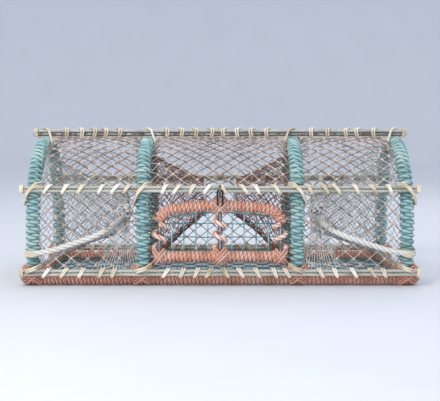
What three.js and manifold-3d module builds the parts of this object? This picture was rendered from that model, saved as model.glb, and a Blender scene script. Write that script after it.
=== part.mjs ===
import * as THREE from "three";
import { mergeVertices } from "three/addons/utils/BufferGeometryUtils.js";
import createKernel from "manifold-3d";

const kernel = await createKernel();
kernel.setup();

// Lengths in millimetres: the bows and the bays between them
const middleBay = 440;
const endBay = 310;
const bowRadius = 230;
const legHeight = 165;
const servingRadius = 22;
const servingGroove = 3;
const servingSlant = 7;
const baseBarRadius = 18;

// The rods along the pot and the ropes on them
const rodRadius = 6;
const rodOverhang = 14;
const headRopeRadius = 4.5;
const headRopeSpread = 7;
const whippingLength = 10;
const whippingRadius = 14.4;
const whippingSetOut = 4;

// Gaps between pieces that touch, and clearance round the hinge stubs
const touchGap = 0.3;
const hingeClearance = 0.6;
const weld = 0.001;

// The diamond netting
const twineHalfWidth = 3;
const twineHeight = 5;
const netSideGap = 19.5;

// The square mesh of the floor and the door
const wireRadius = 1.75;
const floorMeshHeight = 12;

// The two nets that lead in at the ends and the two that lead to the middle
const funnelWall = 3;
const eyeRadius = 58;
const eyeTube = 5;
const eyeHeight = 184;
const eyeDepth = 245;
const innerEyeRadius = 54;
const innerEyeTube = 4;
const innerEyeHeight = 230;
const innerEyeDepth = 175;

// The bunch of gathered net, its white rope and the line between the eyes
const bunchHalf = { x: 23, y: 18, z: 27 };
const whiteRopeRadius = 8.5;
const whiteRopeOverrun = 13;
const whiteRopeEndHeight = 90;
const lineRadius = 3.5;

// The door and its spiral lacing
const hingeHeight = 80;
const doorSideGap = 48;
const doorTopGap = 44;
const doorCorner = 34;
const doorServingRadius = 17;
const doorServingGroove = 2.2;
const doorServingSlant = 3;
const sillEndGap = 34;
const stubSetBack = 8;
const lacingRadius = 5;
const meshBehindPost = 8.05;
const meshTopGap = 6;
const lacingClear = 5.5;

// The latch
const hookWire = 3;
const hookRing = 18.7;
const hookSetOut = 1.9;
const hookDrop = 1.8;
const hornReach = 35;
const hornBend = 7;
const hornRise = 18;
const bandRadius = 3;
const bandHalfWidth = 7;
const bandSetOut = 18;
const bandLift = 3;

// Angles and counts
const crownAngle = THREE.MathUtils.degToRad(90);
const doorLean = THREE.MathUtils.degToRad(-4);
const doorArchTilt = THREE.MathUtils.degToRad(10);
const roundSides = 8;
const barSides = 10;
const rodSides = 12;
const bowTurns = 23;
const sideRodTurns = 5;
const doorBarTurns = 7;
const sideLacingTurns = 2;
const centreLacingTurns = 2.5;
const funnelColumns = 12;
const endColumns = 3;
const middleColumns = 4;
const lowerRows = 3;
const upperRows = 2;

// Colours, roughness and metalness
const looks = {
  turquoise: { color: 0x6fa9ad, roughness: 0.85, metalness: 0 },
  orange: { color: 0xd9826a, roughness: 0.85, metalness: 0 },
  cream: { color: 0xe0decf, roughness: 0.9, metalness: 0 },
  twine: { color: 0xb39c8e, roughness: 0.9, metalness: 0 },
  teal: { color: 0x4f8f94, roughness: 0.6, metalness: 0 },
  whiteNet: { color: 0xb9bdbd, roughness: 0.9, metalness: 0 },
  brownNet: { color: 0x6e4436, roughness: 0.9, metalness: 0 },
  whiteRope: { color: 0xe9e8e2, roughness: 0.9, metalness: 0 },
  line: { color: 0xd99a80, roughness: 0.8, metalness: 0 },
  steel: { color: 0x6b6f70, roughness: 0.45, metalness: 0.9 },
  rubber: { color: 0x1f1f1f, roughness: 0.7, metalness: 0 },
};

// Lengths that follow from the ones above
const innerBowX = middleBay / 2;
const endBowX = innerBowX + endBay;
const legRun = legHeight - baseBarRadius;
const turnRun = (legRun * 2 + Math.PI * bowRadius) / bowTurns;
const baseRodHeight = baseBarRadius + turnRun / 2;
const sideRodAngle = ((sideRodTurns + 0.5) * turnRun - legRun) / bowRadius;
const splitAngle = (sideRodAngle + crownAngle) / 2;
const rodLine = bowRadius + servingRadius + touchGap + rodRadius;
const headRopeOut = Math.sqrt((rodRadius + touchGap + headRopeRadius) ** 2 - headRopeSpread ** 2);
const netEdge = twineHalfWidth + touchGap;
const netRadius = rodLine - Math.sqrt((rodRadius + touchGap) ** 2 - netEdge ** 2) - twineHeight / 2;
const netLegRun = legHeight - baseRodHeight;
const rodHalfLength = endBowX + servingRadius + rodOverhang;
const whippingStart = endBowX + servingRadius + touchGap;
const archRadius = bowRadius - servingRadius - touchGap;
const whiteRopeFront = bowRadius + servingRadius + touchGap + whiteRopeRadius;
const stubReach = innerBowX - stubSetBack;
const doorHalfWidth = innerBowX - doorSideGap;
const doorServingEnd = innerBowX - sillEndGap;
const sideRodHeight = legHeight + rodLine * Math.sin(sideRodAngle);
const doorHeight = (sideRodHeight - doorTopGap - hingeHeight) / Math.cos(doorLean);
const doorCornerTurn = crownAngle - doorArchTilt;
const doorCornerX = doorHalfWidth - doorCorner;
const doorArchRadius = (doorCornerX + doorCorner * Math.cos(doorCornerTurn)) / Math.sin(doorArchTilt);
const doorArchRise = doorArchRadius - doorArchRadius * Math.cos(doorArchTilt);
const doorCornerHeight = doorHeight - doorArchRise - doorCorner * Math.sin(doorCornerTurn);
const doorBarAtMesh = Math.sqrt(doorServingRadius ** 2 - (meshBehindPost - wireRadius) ** 2);
const doorMeshFoot = doorBarAtMesh + wireRadius + touchGap;
const lacingPitch = (doorCornerHeight - meshTopGap - doorMeshFoot) / sideLacingTurns;

const part = new THREE.Group();
part.name = "lobster_trap";

function add(name, geometry, look) {
  const mesh = new THREE.Mesh(geometry, new THREE.MeshStandardMaterial({ ...look }));
  mesh.name = name;
  part.add(mesh);
}

// Closed solids from points and faces
function signedVolume(points, faces) {
  let total = 0;
  for (const [a, b, c] of faces) {
    total += points[a].dot(new THREE.Vector3().crossVectors(points[b], points[c]));
  }
  return total;
}

function closedSolid(points, faces) {
  const geometry = new THREE.BufferGeometry();
  const isInsideOut = signedVolume(points, faces) < 0;
  const index = faces.flatMap(([a, b, c]) => (isInsideOut ? [a, c, b] : [a, b, c]));
  geometry.setAttribute("position", new THREE.Float32BufferAttribute(points.flatMap((p) => p.toArray()), 3));
  geometry.setIndex(index);
  return geometry;
}

// A skin over a row of rings with the same number of points, closed at both ends or run round into a loop
function loft(rings, isLoop = false) {
  const sides = rings[0].length;
  const faces = [];
  const last = isLoop ? rings.length : rings.length - 1;
  for (let row = 0; row < last; row += 1) {
    const here = row * sides;
    const next = ((row + 1) % rings.length) * sides;
    for (let side = 0; side < sides; side += 1) {
      const turn = (side + 1) % sides;
      faces.push([here + side, here + turn, next + turn], [here + side, next + turn, next + side]);
    }
  }
  if (!isLoop) {
    const end = (rings.length - 1) * sides;
    for (let side = 1; side < sides - 1; side += 1) {
      faces.push([0, side + 1, side], [end, end + side, end + side + 1]);
    }
  }
  return closedSolid(rings.flat(), faces);
}

// Joins and cuts
function toKernel(geometry) {
  const bare = new THREE.BufferGeometry();
  bare.setAttribute("position", geometry.getAttribute("position"));
  bare.setIndex(geometry.getIndex());
  const merged = mergeVertices(bare, weld);
  const vertProperties = Float32Array.from(merged.getAttribute("position").array);
  const triVerts = Uint32Array.from(merged.getIndex().array);
  return new kernel.Manifold(new kernel.Mesh({ numProp: 3, vertProperties, triVerts }));
}

function fromKernel(solid) {
  const mesh = solid.getMesh();
  const geometry = new THREE.BufferGeometry();
  geometry.setAttribute("position", new THREE.BufferAttribute(mesh.vertProperties, mesh.numProp));
  geometry.setIndex(new THREE.BufferAttribute(mesh.triVerts, 1));
  return geometry;
}

function joined(...pieces) {
  return fromKernel(kernel.Manifold.union(pieces.map(toKernel)));
}

function cut(body, ...tools) {
  return fromKernel(toKernel(body).subtract(kernel.Manifold.union(tools.map(toKernel))));
}

// A straight round bar along X between two stations, with its corners a whole radius from the axis
function barAlongX(from, to, y, z, radius, sides = roundSides) {
  const bar = new THREE.CylinderGeometry(radius, radius, to - from, sides);
  bar.rotateY(Math.PI / sides);
  bar.rotateZ(Math.PI / 2);
  bar.translate((from + to) / 2, y, z);
  return bar;
}

// The corner radius that puts the flats of a bar or a bore a whole radius from the axis
function roundFlats(radius, sides = roundSides) {
  return radius / Math.cos(Math.PI / sides);
}

// A flat curve carried into space, for tubes that bend in one plane
class PlacedCurve extends THREE.Curve {
  constructor(flat, place) {
    super();
    this.flat = flat;
    this.place = place;
  }

  getPoint(share, target = new THREE.Vector3()) {
    const point = this.flat.getPointAt(share);
    return target.copy(this.place(point.x, point.y));
  }
}

function tubeAlong(curve, radius, steps, sides = roundSides) {
  const outline = new THREE.EllipseCurve(0, 0, radius, radius).getSpacedPoints(sides).slice(0, sides);
  const settings = { steps, extrudePath: curve, bevelEnabled: false };
  return new THREE.ExtrudeGeometry(new THREE.Shape(outline), settings);
}

// A bar wound round with rope: crests and grooves follow each other, each leaning as a turn of rope does
function servedBar(flat, place, across, turns, crest, groove, slant) {
  const rings = [];
  const count = turns * 2;
  for (let step = 0; step <= count; step += 1) {
    const point = flat.getPointAt(step / count);
    const tangent = flat.getTangentAt(step / count);
    const centre = place(point.x, point.y);
    const along = place(point.x + tangent.x, point.y + tangent.y).sub(centre);
    const outward = new THREE.Vector3().crossVectors(across, along);
    const isEnd = step === 0 || step === count;
    const radius = step % 2 === 1 ? crest : crest - groove;
    const ring = [];
    for (let side = 0; side < roundSides; side += 1) {
      const angle = (side / roundSides) * Math.PI * 2;
      const lean = isEnd ? 0 : slant * Math.sin(angle);
      const spoke = centre.clone();
      spoke.addScaledVector(outward, radius * Math.cos(angle));
      spoke.addScaledVector(across, radius * Math.sin(angle));
      spoke.addScaledVector(along, lean);
      ring.push(spoke);
    }
    rings.push(ring);
  }
  return loft(rings);
}

// A net or mesh of bars between knots: each bar is flat on one face and ridged on the other
function lattice(knots, bars, halfWidth, height, place, around = Infinity) {
  const points = [];
  const faces = [];
  const ways = knots.map(() => []);
  for (const [from, to] of bars) {
    ways[from].push(to);
    ways[to].push(from);
  }
  const bearing = (from, to) => {
    const right = knots[to].u - knots[from].u;
    const isOverSeam = Math.abs(right) > around / 2;
    return Math.atan2(knots[to].v - knots[from].v, isOverSeam ? -right : right);
  };
  const ridges = [];
  const corners = [];
  knots.forEach((knot, index) => {
    ways[index].sort((a, b) => bearing(index, a) - bearing(index, b));
    ridges.push(points.push(place(knot, 0, 0, height / 2)) - 1);
    corners.push(ways[index].map((to, turn) => {
      const next = ways[index][(turn + 1) % ways[index].length];
      const first = bearing(index, to);
      let opening = bearing(index, next) - first;
      if (opening <= 0) {
        opening += Math.PI * 2;
      }
      const reach = halfWidth / Math.sin(opening / 2);
      const aim = first + opening / 2;
      const right = reach * Math.cos(aim);
      const up = reach * Math.sin(aim);
      return points.push(place(knot, right, up, -height / 2)) - 1;
    }));
    for (let corner = 1; corner < corners[index].length - 1; corner += 1) {
      faces.push([corners[index][0], corners[index][corner + 1], corners[index][corner]]);
    }
  });
  for (const [from, to] of bars) {
    const out = ways[from].indexOf(to);
    const back = ways[to].indexOf(from);
    const leftFrom = corners[from][out];
    const rightFrom = corners[from].at(out - 1);
    const rightTo = corners[to][back];
    const leftTo = corners[to].at(back - 1);
    faces.push([leftFrom, leftTo, rightTo], [leftFrom, rightTo, rightFrom]);
    faces.push([rightFrom, rightTo, ridges[to]], [rightFrom, ridges[to], ridges[from]]);
    faces.push([leftTo, leftFrom, ridges[from]], [leftTo, ridges[from], ridges[to]]);
  }
  return closedSolid(points, faces);
}

// Places a flat net on a surface that is given in lengths across and up
function onSurface(place) {
  return (knot, right, up, out) => place(knot.u + right, knot.v + up, out);
}

// Knots of a diamond net, in half meshes, with a border line on every side
function diamondNet(uFrom, uTo, vFrom, vTo, columns, rows) {
  const knots = [];
  const bars = [];
  const found = new Map();
  const across = columns * 2;
  const up = rows * 2;
  const isCorner = (c, r) => (c === 0 || c === across) && (r === 0 || r === up);
  for (let r = 0; r <= up; r += 1) {
    for (let c = 0; c <= across; c += 1) {
      if ((c + r) % 2 === 0 || isCorner(c, r)) {
        found.set(`${c},${r}`, knots.length);
        const u = uFrom + ((uTo - uFrom) * c) / across;
        const v = vFrom + ((vTo - vFrom) * r) / up;
        knots.push({ u, v, c, r });
      }
    }
  }
  const link = (from, c, r) => {
    if (found.has(`${c},${r}`)) {
      bars.push([from, found.get(`${c},${r}`)]);
    }
  };
  knots.forEach(({ c, r }, from) => {
    if ((c + r) % 2 === 0) {
      link(from, c + 1, r + 1);
      link(from, c - 1, r + 1);
    }
    if (r === 0 || r === up) {
      link(from, c + (found.has(`${c + 1},${r}`) ? 1 : 2), r);
    }
    if (c === 0 || c === across) {
      link(from, c, r + (found.has(`${c},${r + 1}`) ? 1 : 2));
    }
  });
  return { knots, bars };
}

// Knots of a square mesh from its lines across and up
function squareMesh(us, vs, topOf = () => vs.length - 1) {
  const knots = [];
  const bars = [];
  const found = new Map();
  us.forEach((u, c) => {
    for (let r = 0; r <= topOf(c); r += 1) {
      found.set(`${c},${r}`, knots.length);
      knots.push({ u, v: typeof vs[r] === "function" ? vs[r](u) : vs[r] });
    }
  });
  us.forEach((u, c) => {
    for (let r = 0; r <= topOf(c); r += 1) {
      const here = found.get(`${c},${r}`);
      if (found.has(`${c + 1},${r}`)) {
        bars.push([here, found.get(`${c + 1},${r}`)]);
      }
      if (r < topOf(c)) {
        bars.push([here, found.get(`${c},${r + 1}`)]);
      }
    }
  });
  return { knots, bars };
}

function evenly(from, to, count) {
  return Array.from({ length: count + 1 }, (_, step) => from + ((to - from) * step) / count);
}

// Where a rod lies on the section, and which way is outward there
function rodPlace(angle, side) {
  const isBase = angle === 0;
  const y = side * rodLine * Math.cos(angle);
  const z = isBase ? baseRodHeight : legHeight + rodLine * Math.sin(angle);
  const outward = new THREE.Vector2(side * Math.cos(angle), Math.sin(angle));
  const rising = new THREE.Vector2(-side * Math.sin(angle), Math.cos(angle));
  return { y, z, outward, rising };
}

// Base frame: four straight served bars that the bows stand over
function baseBarY(x, grow) {
  const reach = bowRadius - roundFlats(baseBarRadius, barSides) - touchGap + grow;
  const radius = roundFlats(baseBarRadius + grow, barSides);
  const bar = barAlongX(-reach, reach, 0, baseBarRadius, radius, barSides);
  bar.rotateZ(Math.PI / 2);
  bar.translate(x, 0, 0);
  return bar;
}

function baseBarX(side, grow) {
  const reach = endBowX + servingRadius;
  const radius = roundFlats(baseBarRadius + grow, barSides);
  return barAlongX(-reach, reach, side * bowRadius, baseBarRadius, radius, barSides);
}

function makeBase() {
  add("base_front_serving", baseBarX(-1, 0), looks.orange);
  add("base_rear_serving", baseBarX(1, 0), looks.orange);
  add("base_left_serving", baseBarY(-endBowX, 0), looks.orange);
  add("base_right_serving", baseBarY(endBowX, 0), looks.orange);
}

// Bows: half round hoops on straight legs, cut to sit astride the base bars
function bowLine() {
  const line = new THREE.Path();
  line.moveTo(-bowRadius, baseBarRadius);
  line.lineTo(-bowRadius, legHeight);
  line.absarc(0, legHeight, bowRadius, Math.PI, 0, true);
  line.lineTo(bowRadius, baseBarRadius);
  return line;
}

function hingeSocket(x) {
  const inner = Math.abs(x) - servingRadius * 2;
  const end = stubReach + hingeClearance * 2;
  const bore = roundFlats(rodRadius + hingeClearance);
  const [from, to] = x > 0 ? [inner, end] : [-end, -inner];
  return barAlongX(from, to, -bowRadius, hingeHeight, bore);
}

function makeBow(name, x, hasHinge) {
  const place = (y, z) => new THREE.Vector3(x, y, z);
  const across = new THREE.Vector3(1, 0, 0);
  const bow = servedBar(bowLine(), place, across, bowTurns, servingRadius, servingGroove, servingSlant);
  const tools = [baseBarX(-1, touchGap), baseBarX(1, touchGap)];
  tools.push(hasHinge ? hingeSocket(x) : baseBarY(x, touchGap));
  add(name, cut(bow, ...tools), looks.turquoise);
}

// Rods along the pot, each with a doubled head rope whipped to it at both ends
function whipping(from, place) {
  const y = place.y + place.outward.x * whippingSetOut;
  const z = place.z + place.outward.y * whippingSetOut;
  const ring = barAlongX(from, from + whippingLength, y, z, whippingRadius, barSides);
  const bore = roundFlats(rodRadius + touchGap);
  const hole = barAlongX(from - weld, from + whippingLength + weld, place.y, place.z, bore);
  return cut(ring, hole);
}

function headRopes(place) {
  const reach = whippingStart + whippingLength / 2;
  const ropes = [-headRopeSpread, headRopeSpread].map((spread) => {
    const y = place.y + place.outward.x * headRopeOut + place.rising.x * spread;
    const z = place.z + place.outward.y * headRopeOut + place.rising.y * spread;
    return barAlongX(-reach, reach, y, z, headRopeRadius);
  });
  return joined(...ropes, whipping(whippingStart, place), whipping(-whippingStart - whippingLength, place));
}

function makeRod(name, angle, side) {
  const place = rodPlace(angle, side);
  const rod = barAlongX(-rodHalfLength, rodHalfLength, place.y, place.z, rodRadius, rodSides);
  add(`${name}_rod`, rod, looks.steel);
  add(`${name}_head_ropes`, headRopes(place), looks.cream);
}

// Netting between the rods, laid on the section from the base rods up
function netPlace(side) {
  return (x, run, out) => {
    const radius = netRadius + out;
    if (run <= netLegRun) {
      return new THREE.Vector3(x, side * radius, baseRodHeight + run);
    }
    const angle = (run - netLegRun) / netRadius;
    return new THREE.Vector3(x, side * radius * Math.cos(angle), legHeight + radius * Math.sin(angle));
  };
}

function netRun(angle) {
  return netLegRun + angle * netRadius;
}

function makeNetPanel(name, side, bay, fromRun, toRun, rows) {
  const net = diamondNet(
    bay.from + netSideGap + twineHalfWidth,
    bay.to - netSideGap - twineHalfWidth,
    fromRun + netEdge,
    toRun - netEdge,
    bay.columns,
    rows,
  );
  const place = onSurface(netPlace(side));
  add(name, lattice(net.knots, net.bars, twineHalfWidth, twineHeight, place), looks.twine);
}

function makeNetting() {
  const bays = [
    { name: "left", from: -endBowX, to: -innerBowX, columns: endColumns },
    { name: "middle", from: -innerBowX, to: innerBowX, columns: middleColumns },
    { name: "right", from: innerBowX, to: endBowX, columns: endColumns },
  ];
  for (const bay of bays) {
    for (const [face, side] of [["front", -1], ["rear", 1]]) {
      const isDoorBay = bay.name === "middle" && face === "front";
      if (!isDoorBay) {
        makeNetPanel(`${bay.name}_${face}_net`, side, bay, 0, netRun(sideRodAngle), lowerRows);
      }
      const sides = `${bay.name}_${face}_roof_net`;
      makeNetPanel(`${sides}_low`, side, bay, netRun(sideRodAngle), netRun(splitAngle), upperRows);
      makeNetPanel(`${sides}_high`, side, bay, netRun(splitAngle), netRun(crownAngle), upperRows);
    }
  }
}

// Square mesh floor inside the base bars
function makeFloor() {
  const meshColumns = 14;
  const meshRows = 6;
  const drop = baseBarRadius - floorMeshHeight + wireRadius;
  const barReach = roundFlats(baseBarRadius, barSides) - drop * Math.tan(Math.PI / barSides);
  const halfX = endBowX - barReach - touchGap - wireRadius;
  const halfY = bowRadius - barReach - touchGap - wireRadius;
  const mesh = squareMesh(evenly(-halfX, halfX, meshColumns), evenly(-halfY, halfY, meshRows));
  const place = onSurface((x, y, out) => new THREE.Vector3(x, y, floorMeshHeight + out));
  add("floor_mesh", lattice(mesh.knots, mesh.bars, wireRadius, wireRadius * 2, place), looks.teal);
}

// Funnel nets: a mesh from the arch of a bow in to a ring
function archPoints(bottom, inset, count) {
  const radius = archRadius - inset;
  const low = bottom + inset;
  const arch = new THREE.Path();
  arch.moveTo(0, low);
  arch.lineTo(radius, low);
  arch.lineTo(radius, legHeight);
  arch.absarc(0, legHeight, radius, 0, Math.PI, false);
  arch.lineTo(-radius, low);
  arch.lineTo(0, low);
  return arch.getSpacedPoints(count).slice(0, count);
}

function eyePoints(centreHeight, radius, count) {
  return Array.from({ length: count }, (_, step) => {
    const angle = (step / count) * Math.PI * 2 - Math.PI / 2;
    return new THREE.Vector2(radius * Math.cos(angle), centreHeight + radius * Math.sin(angle));
  });
}

function funnel({ mouthX, eyeX, bottom, centreHeight, radius }) {
  const drawInShares = [0, 0.36, 0.7, 1];
  const lengthShares = [0, 0.3, 0.64, 1];
  const inset = funnelWall / 2;
  const mouth = archPoints(bottom, inset, funnelColumns);
  const eye = eyePoints(centreHeight, radius + inset, funnelColumns);
  const inward = Math.sign(eyeX - mouthX);
  const toRing = new THREE.Vector3(inward, 0, 0);
  const rows = lengthShares.map((share, row) => mouth.map((start, step) => {
    const point = start.clone().lerp(eye[step], drawInShares[row]);
    return new THREE.Vector3(mouthX + (eyeX - mouthX) * share, point.x, point.y);
  }));
  const last = rows.length - 1;
  rows[0].forEach((point, step) => point.add(rows[1][step].clone().sub(point).setLength(twineHalfWidth)));
  rows[last].forEach((point) => point.addScaledVector(toRing, -twineHalfWidth));
  const knots = [];
  const bars = [];
  rows.forEach((points, row) => points.forEach((centre, step) => {
    const next = (step + 1) % funnelColumns;
    const across = points[next].clone().sub(points.at(step - 1)).normalize();
    const along = row === last ? toRing : rows[row + 1][step].clone().sub((rows[row - 1] ?? points)[step]);
    along.normalize();
    const outward = new THREE.Vector3().crossVectors(across, along).multiplyScalar(inward).normalize();
    const here = knots.push({ u: step, v: row, centre, across, along, outward }) - 1;
    bars.push([here, row * funnelColumns + next]);
    if (row < last) {
      bars.push([here, here + funnelColumns]);
    }
  }));
  const place = (knot, right, up, out) => {
    const point = knot.centre.clone().addScaledVector(knot.across, right);
    return point.addScaledVector(knot.along, up).addScaledVector(knot.outward, out);
  };
  return lattice(knots, bars, twineHalfWidth, funnelWall, place, funnelColumns);
}

function ring(x, z, radius, tube) {
  const tubeSides = 6;
  const ringSides = 16;
  const torus = new THREE.TorusGeometry(radius, tube, tubeSides, ringSides);
  torus.rotateY(Math.PI / 2);
  torus.translate(x, 0, z);
  return torus;
}

function makeFunnels() {
  for (const [name, side] of [["left", -1], ["right", 1]]) {
    const outerEyeX = endBowX - eyeDepth;
    add(`${name}_entrance_net`, funnel({
      mouthX: side * endBowX,
      eyeX: side * (outerEyeX + eyeTube + touchGap),
      bottom: baseBarRadius * 2 + touchGap,
      centreHeight: eyeHeight,
      radius: eyeRadius,
    }), looks.whiteNet);
    add(`${name}_entrance_ring`, ring(side * outerEyeX, eyeHeight, eyeRadius, eyeTube), looks.whiteRope);
    const innerEyeX = innerBowX - innerEyeDepth;
    add(`${name}_parlour_net`, funnel({
      mouthX: side * innerBowX,
      eyeX: side * (innerEyeX + innerEyeTube + touchGap),
      bottom: floorMeshHeight + wireRadius + touchGap,
      centreHeight: innerEyeHeight,
      radius: innerEyeRadius,
    }), looks.brownNet);
    const innerRing = ring(side * innerEyeX, innerEyeHeight, innerEyeRadius, innerEyeTube);
    add(`${name}_parlour_ring`, innerRing, looks.whiteRope);
  }
}

// The gathered bunch beside each entrance ring and the white rope from it to the end bow
function bunchCentre(side) {
  const x = side * (endBowX - eyeDepth);
  const y = -eyeRadius - eyeTube - touchGap - bunchHalf.y;
  return new THREE.Vector3(x, y, eyeHeight);
}

function makeBunch(name, side) {
  const around = 10;
  const bands = 6;
  const bunch = new THREE.SphereGeometry(1, around, bands);
  bunch.scale(bunchHalf.x, bunchHalf.y, bunchHalf.z);
  bunch.translate(...bunchCentre(side).toArray());
  add(`${name}_bunch`, bunch, looks.whiteNet);
}

// Route of the white rope from the bunch to the end bow's foot: shares of the way out, forward and down
const whiteRopeShares = [
  { x: 0, y: 0, z: 0 },
  { x: 0.035, y: 0.36, z: 0.128 },
  { x: 0.093, y: 0.696, z: 0.234 },
  { x: 0.178, y: 0.932, z: 0.34 },
  { x: 0.287, y: 1.037, z: 0.468 },
  { x: 0.45, y: 1.037, z: 0.617 },
  { x: 0.736, y: 1.012, z: 0.872 },
  { x: 1, y: 1, z: 1 },
];

function makeWhiteRope(name, side) {
  const start = bunchCentre(side);
  start.y -= bunchHalf.y + touchGap * 2;
  const end = new THREE.Vector3(side * (endBowX + whiteRopeOverrun), -whiteRopeFront, whiteRopeEndHeight);
  const way = end.sub(start);
  const route = whiteRopeShares.map((share) => new THREE.Vector3().copy(share).multiply(way).add(start));
  const steps = 22;
  const line = new THREE.CatmullRomCurve3(route);
  add(`${name}_white_rope`, tubeAlong(line, whiteRopeRadius, steps), looks.whiteRope);
}

// The thin line from one entrance ring to the other, over the low edge of both parlour rings
function makeStretchLine() {
  const ringX = endBowX - eyeDepth - eyeTube - touchGap;
  const restX = innerBowX - innerEyeDepth;
  const restZ = innerEyeHeight - innerEyeRadius + innerEyeTube + touchGap + lineRadius;
  const droop = THREE.MathUtils.degToRad(-25);
  const end = { y: -eyeRadius * Math.cos(droop), z: eyeHeight + eyeRadius * Math.sin(droop) };
  const points = [
    new THREE.Vector3(-ringX, end.y, end.z),
    new THREE.Vector3(-restX, 0, restZ),
    new THREE.Vector3(restX, 0, restZ),
    new THREE.Vector3(ringX, end.y, end.z),
  ];
  const line = new THREE.CurvePath();
  points.slice(1).forEach((point, index) => line.add(new THREE.LineCurve3(points[index], point)));
  const steps = 24;
  add("stretch_line", tubeAlong(line, lineRadius, steps), looks.line);
}

// The door, drawn upright over its hinge line and then leaned in
function doorPlace(across, up, back = 0) {
  const point = new THREE.Vector3(across, back, up);
  point.applyAxisAngle(new THREE.Vector3(1, 0, 0), doorLean);
  return point.add(new THREE.Vector3(0, -bowRadius, hingeHeight));
}

function doorBowLine(from) {
  const turn = doorCornerTurn;
  const line = new THREE.Path();
  line.moveTo(-doorHalfWidth, from);
  line.lineTo(-doorHalfWidth, doorCornerHeight);
  line.absarc(-doorCornerX, doorCornerHeight, doorCorner, Math.PI, Math.PI - turn, true);
  line.absarc(0, doorHeight - doorArchRadius, doorArchRadius, Math.PI - turn, turn, true);
  line.absarc(doorCornerX, doorCornerHeight, doorCorner, turn, 0, true);
  line.lineTo(doorHalfWidth, from);
  return line;
}

function straight(fromX, fromY, toX, toY) {
  const line = new THREE.Path();
  line.moveTo(fromX, fromY);
  line.lineTo(toX, toY);
  return line;
}

function doorFrame(grow) {
  const radius = rodRadius + grow;
  const bowSteps = 28;
  const bow = tubeAlong(new PlacedCurve(doorBowLine(0), doorPlace), radius, bowSteps);
  const sill = tubeAlong(new PlacedCurve(straight(-stubReach, 0, stubReach, 0), doorPlace), radius, 1);
  const post = tubeAlong(new PlacedCurve(straight(0, 0, 0, doorHeight), doorPlace), radius, 1);
  return joined(bow, sill, post);
}

function makeDoorServings() {
  const back = new THREE.Vector3(0, 1, 0).applyAxisAngle(new THREE.Vector3(1, 0, 0), doorLean);
  const core = doorFrame(touchGap);
  const wound = [doorServingRadius, doorServingGroove, doorServingSlant];
  const top = servedBar(doorBowLine(doorCornerHeight), doorPlace, back, doorBarTurns * 2, ...wound);
  const sillLine = straight(-doorServingEnd, 0, doorServingEnd, 0);
  const sill = servedBar(sillLine, doorPlace, back, doorBarTurns * 2, ...wound);
  add("door_top_serving", cut(top, core), looks.orange);
  add("door_sill_serving", cut(sill, core), looks.orange);
}

function makeDoorMesh() {
  const columns = 10;
  const us = evenly(-doorHalfWidth, doorHalfWidth, columns);
  const foot = doorMeshFoot;
  const archCentre = doorHeight - doorArchRadius;
  const archTop = (u) => archCentre + Math.sqrt(doorArchRadius ** 2 - u ** 2) - foot - wireRadius;
  const vs = [...evenly(foot, foot + lacingPitch * sideLacingTurns, sideLacingTurns), archTop];
  const isOuter = (c) => c === 0 || c === columns;
  const mesh = squareMesh(us, vs, (c) => (isOuter(c) ? sideLacingTurns : sideLacingTurns + 1));
  const place = onSurface((u, v, out) => doorPlace(u, v, meshBehindPost - out));
  add("door_mesh", lattice(mesh.knots, mesh.bars, wireRadius, wireRadius * 2, place), looks.teal);
}

// Least distance between points of a spiral that lie at least some steps apart along it
function leastGapToItself(rings, stepsApart) {
  let least = Infinity;
  rings.forEach((ring, row) => {
    const others = rings.slice(row + stepsApart).flat();
    ring.forEach((point) => others.forEach((other) => {
      least = Math.min(least, point.distanceTo(other));
    }));
  });
  return least;
}

let leastLacingGap = Infinity;

// One spiral of rope round a post and the mesh wire behind it
function lacing(x, hand, turns) {
  const setBack = (meshBehindPost + wireRadius - rodRadius) / 2;
  const around = (meshBehindPost + wireRadius + rodRadius) / 2 + touchGap + lacingRadius;
  const from = doorServingRadius + lacingClear;
  const stepsPerTurn = 12;
  const sides = 5;
  const foot = doorMeshFoot;
  const to = foot + turns * lacingPitch;
  const steps = Math.round(((to - from) / lacingPitch) * stepsPerTurn);
  const centres = Array.from({ length: steps + 1 }, (_, step) => {
    const up = from + ((to - from) * step) / steps;
    const angle = -Math.PI / 2 + (hand * (up - foot) * Math.PI * 2) / lacingPitch;
    return { up, angle };
  });
  const climb = lacingPitch / (Math.PI * 2 * around);
  const rings = centres.map(({ up, angle }) => {
    const outward = new THREE.Vector3(Math.cos(angle), Math.sin(angle), 0);
    const forward = new THREE.Vector3(-Math.sin(angle) * hand, Math.cos(angle) * hand, climb).normalize();
    const third = new THREE.Vector3().crossVectors(forward, outward);
    return Array.from({ length: sides }, (_, side) => {
      const turn = (side / sides) * Math.PI * 2;
      const spoke = new THREE.Vector3(x, setBack, up).addScaledVector(outward, around);
      spoke.addScaledVector(outward, lacingRadius * Math.cos(turn));
      spoke.addScaledVector(third, lacingRadius * Math.sin(turn));
      return doorPlace(spoke.x, spoke.z, spoke.y);
    });
  });
  leastLacingGap = Math.min(leastLacingGap, leastGapToItself(rings, stepsPerTurn / 2));
  return loft(rings);
}

function makeDoor() {
  add("door_frame", doorFrame(0), looks.steel);
  makeDoorServings();
  makeDoorMesh();
  add("door_left_lacing", lacing(-doorHalfWidth, -1, sideLacingTurns), looks.orange);
  add("door_centre_lacing", lacing(0, -1, centreLacingTurns), looks.orange);
  add("door_right_lacing", lacing(doorHalfWidth, 1, sideLacingTurns), looks.orange);
}

// Latch: a wire hook round the side rod and a rubber band up to it from the door
function latchPlace(rising, outward) {
  const place = rodPlace(sideRodAngle, -1);
  const y = place.y + place.outward.x * outward + place.rising.x * rising;
  const z = place.z + place.outward.y * outward + place.rising.y * rising;
  return new THREE.Vector3(0, y, z);
}

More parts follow.
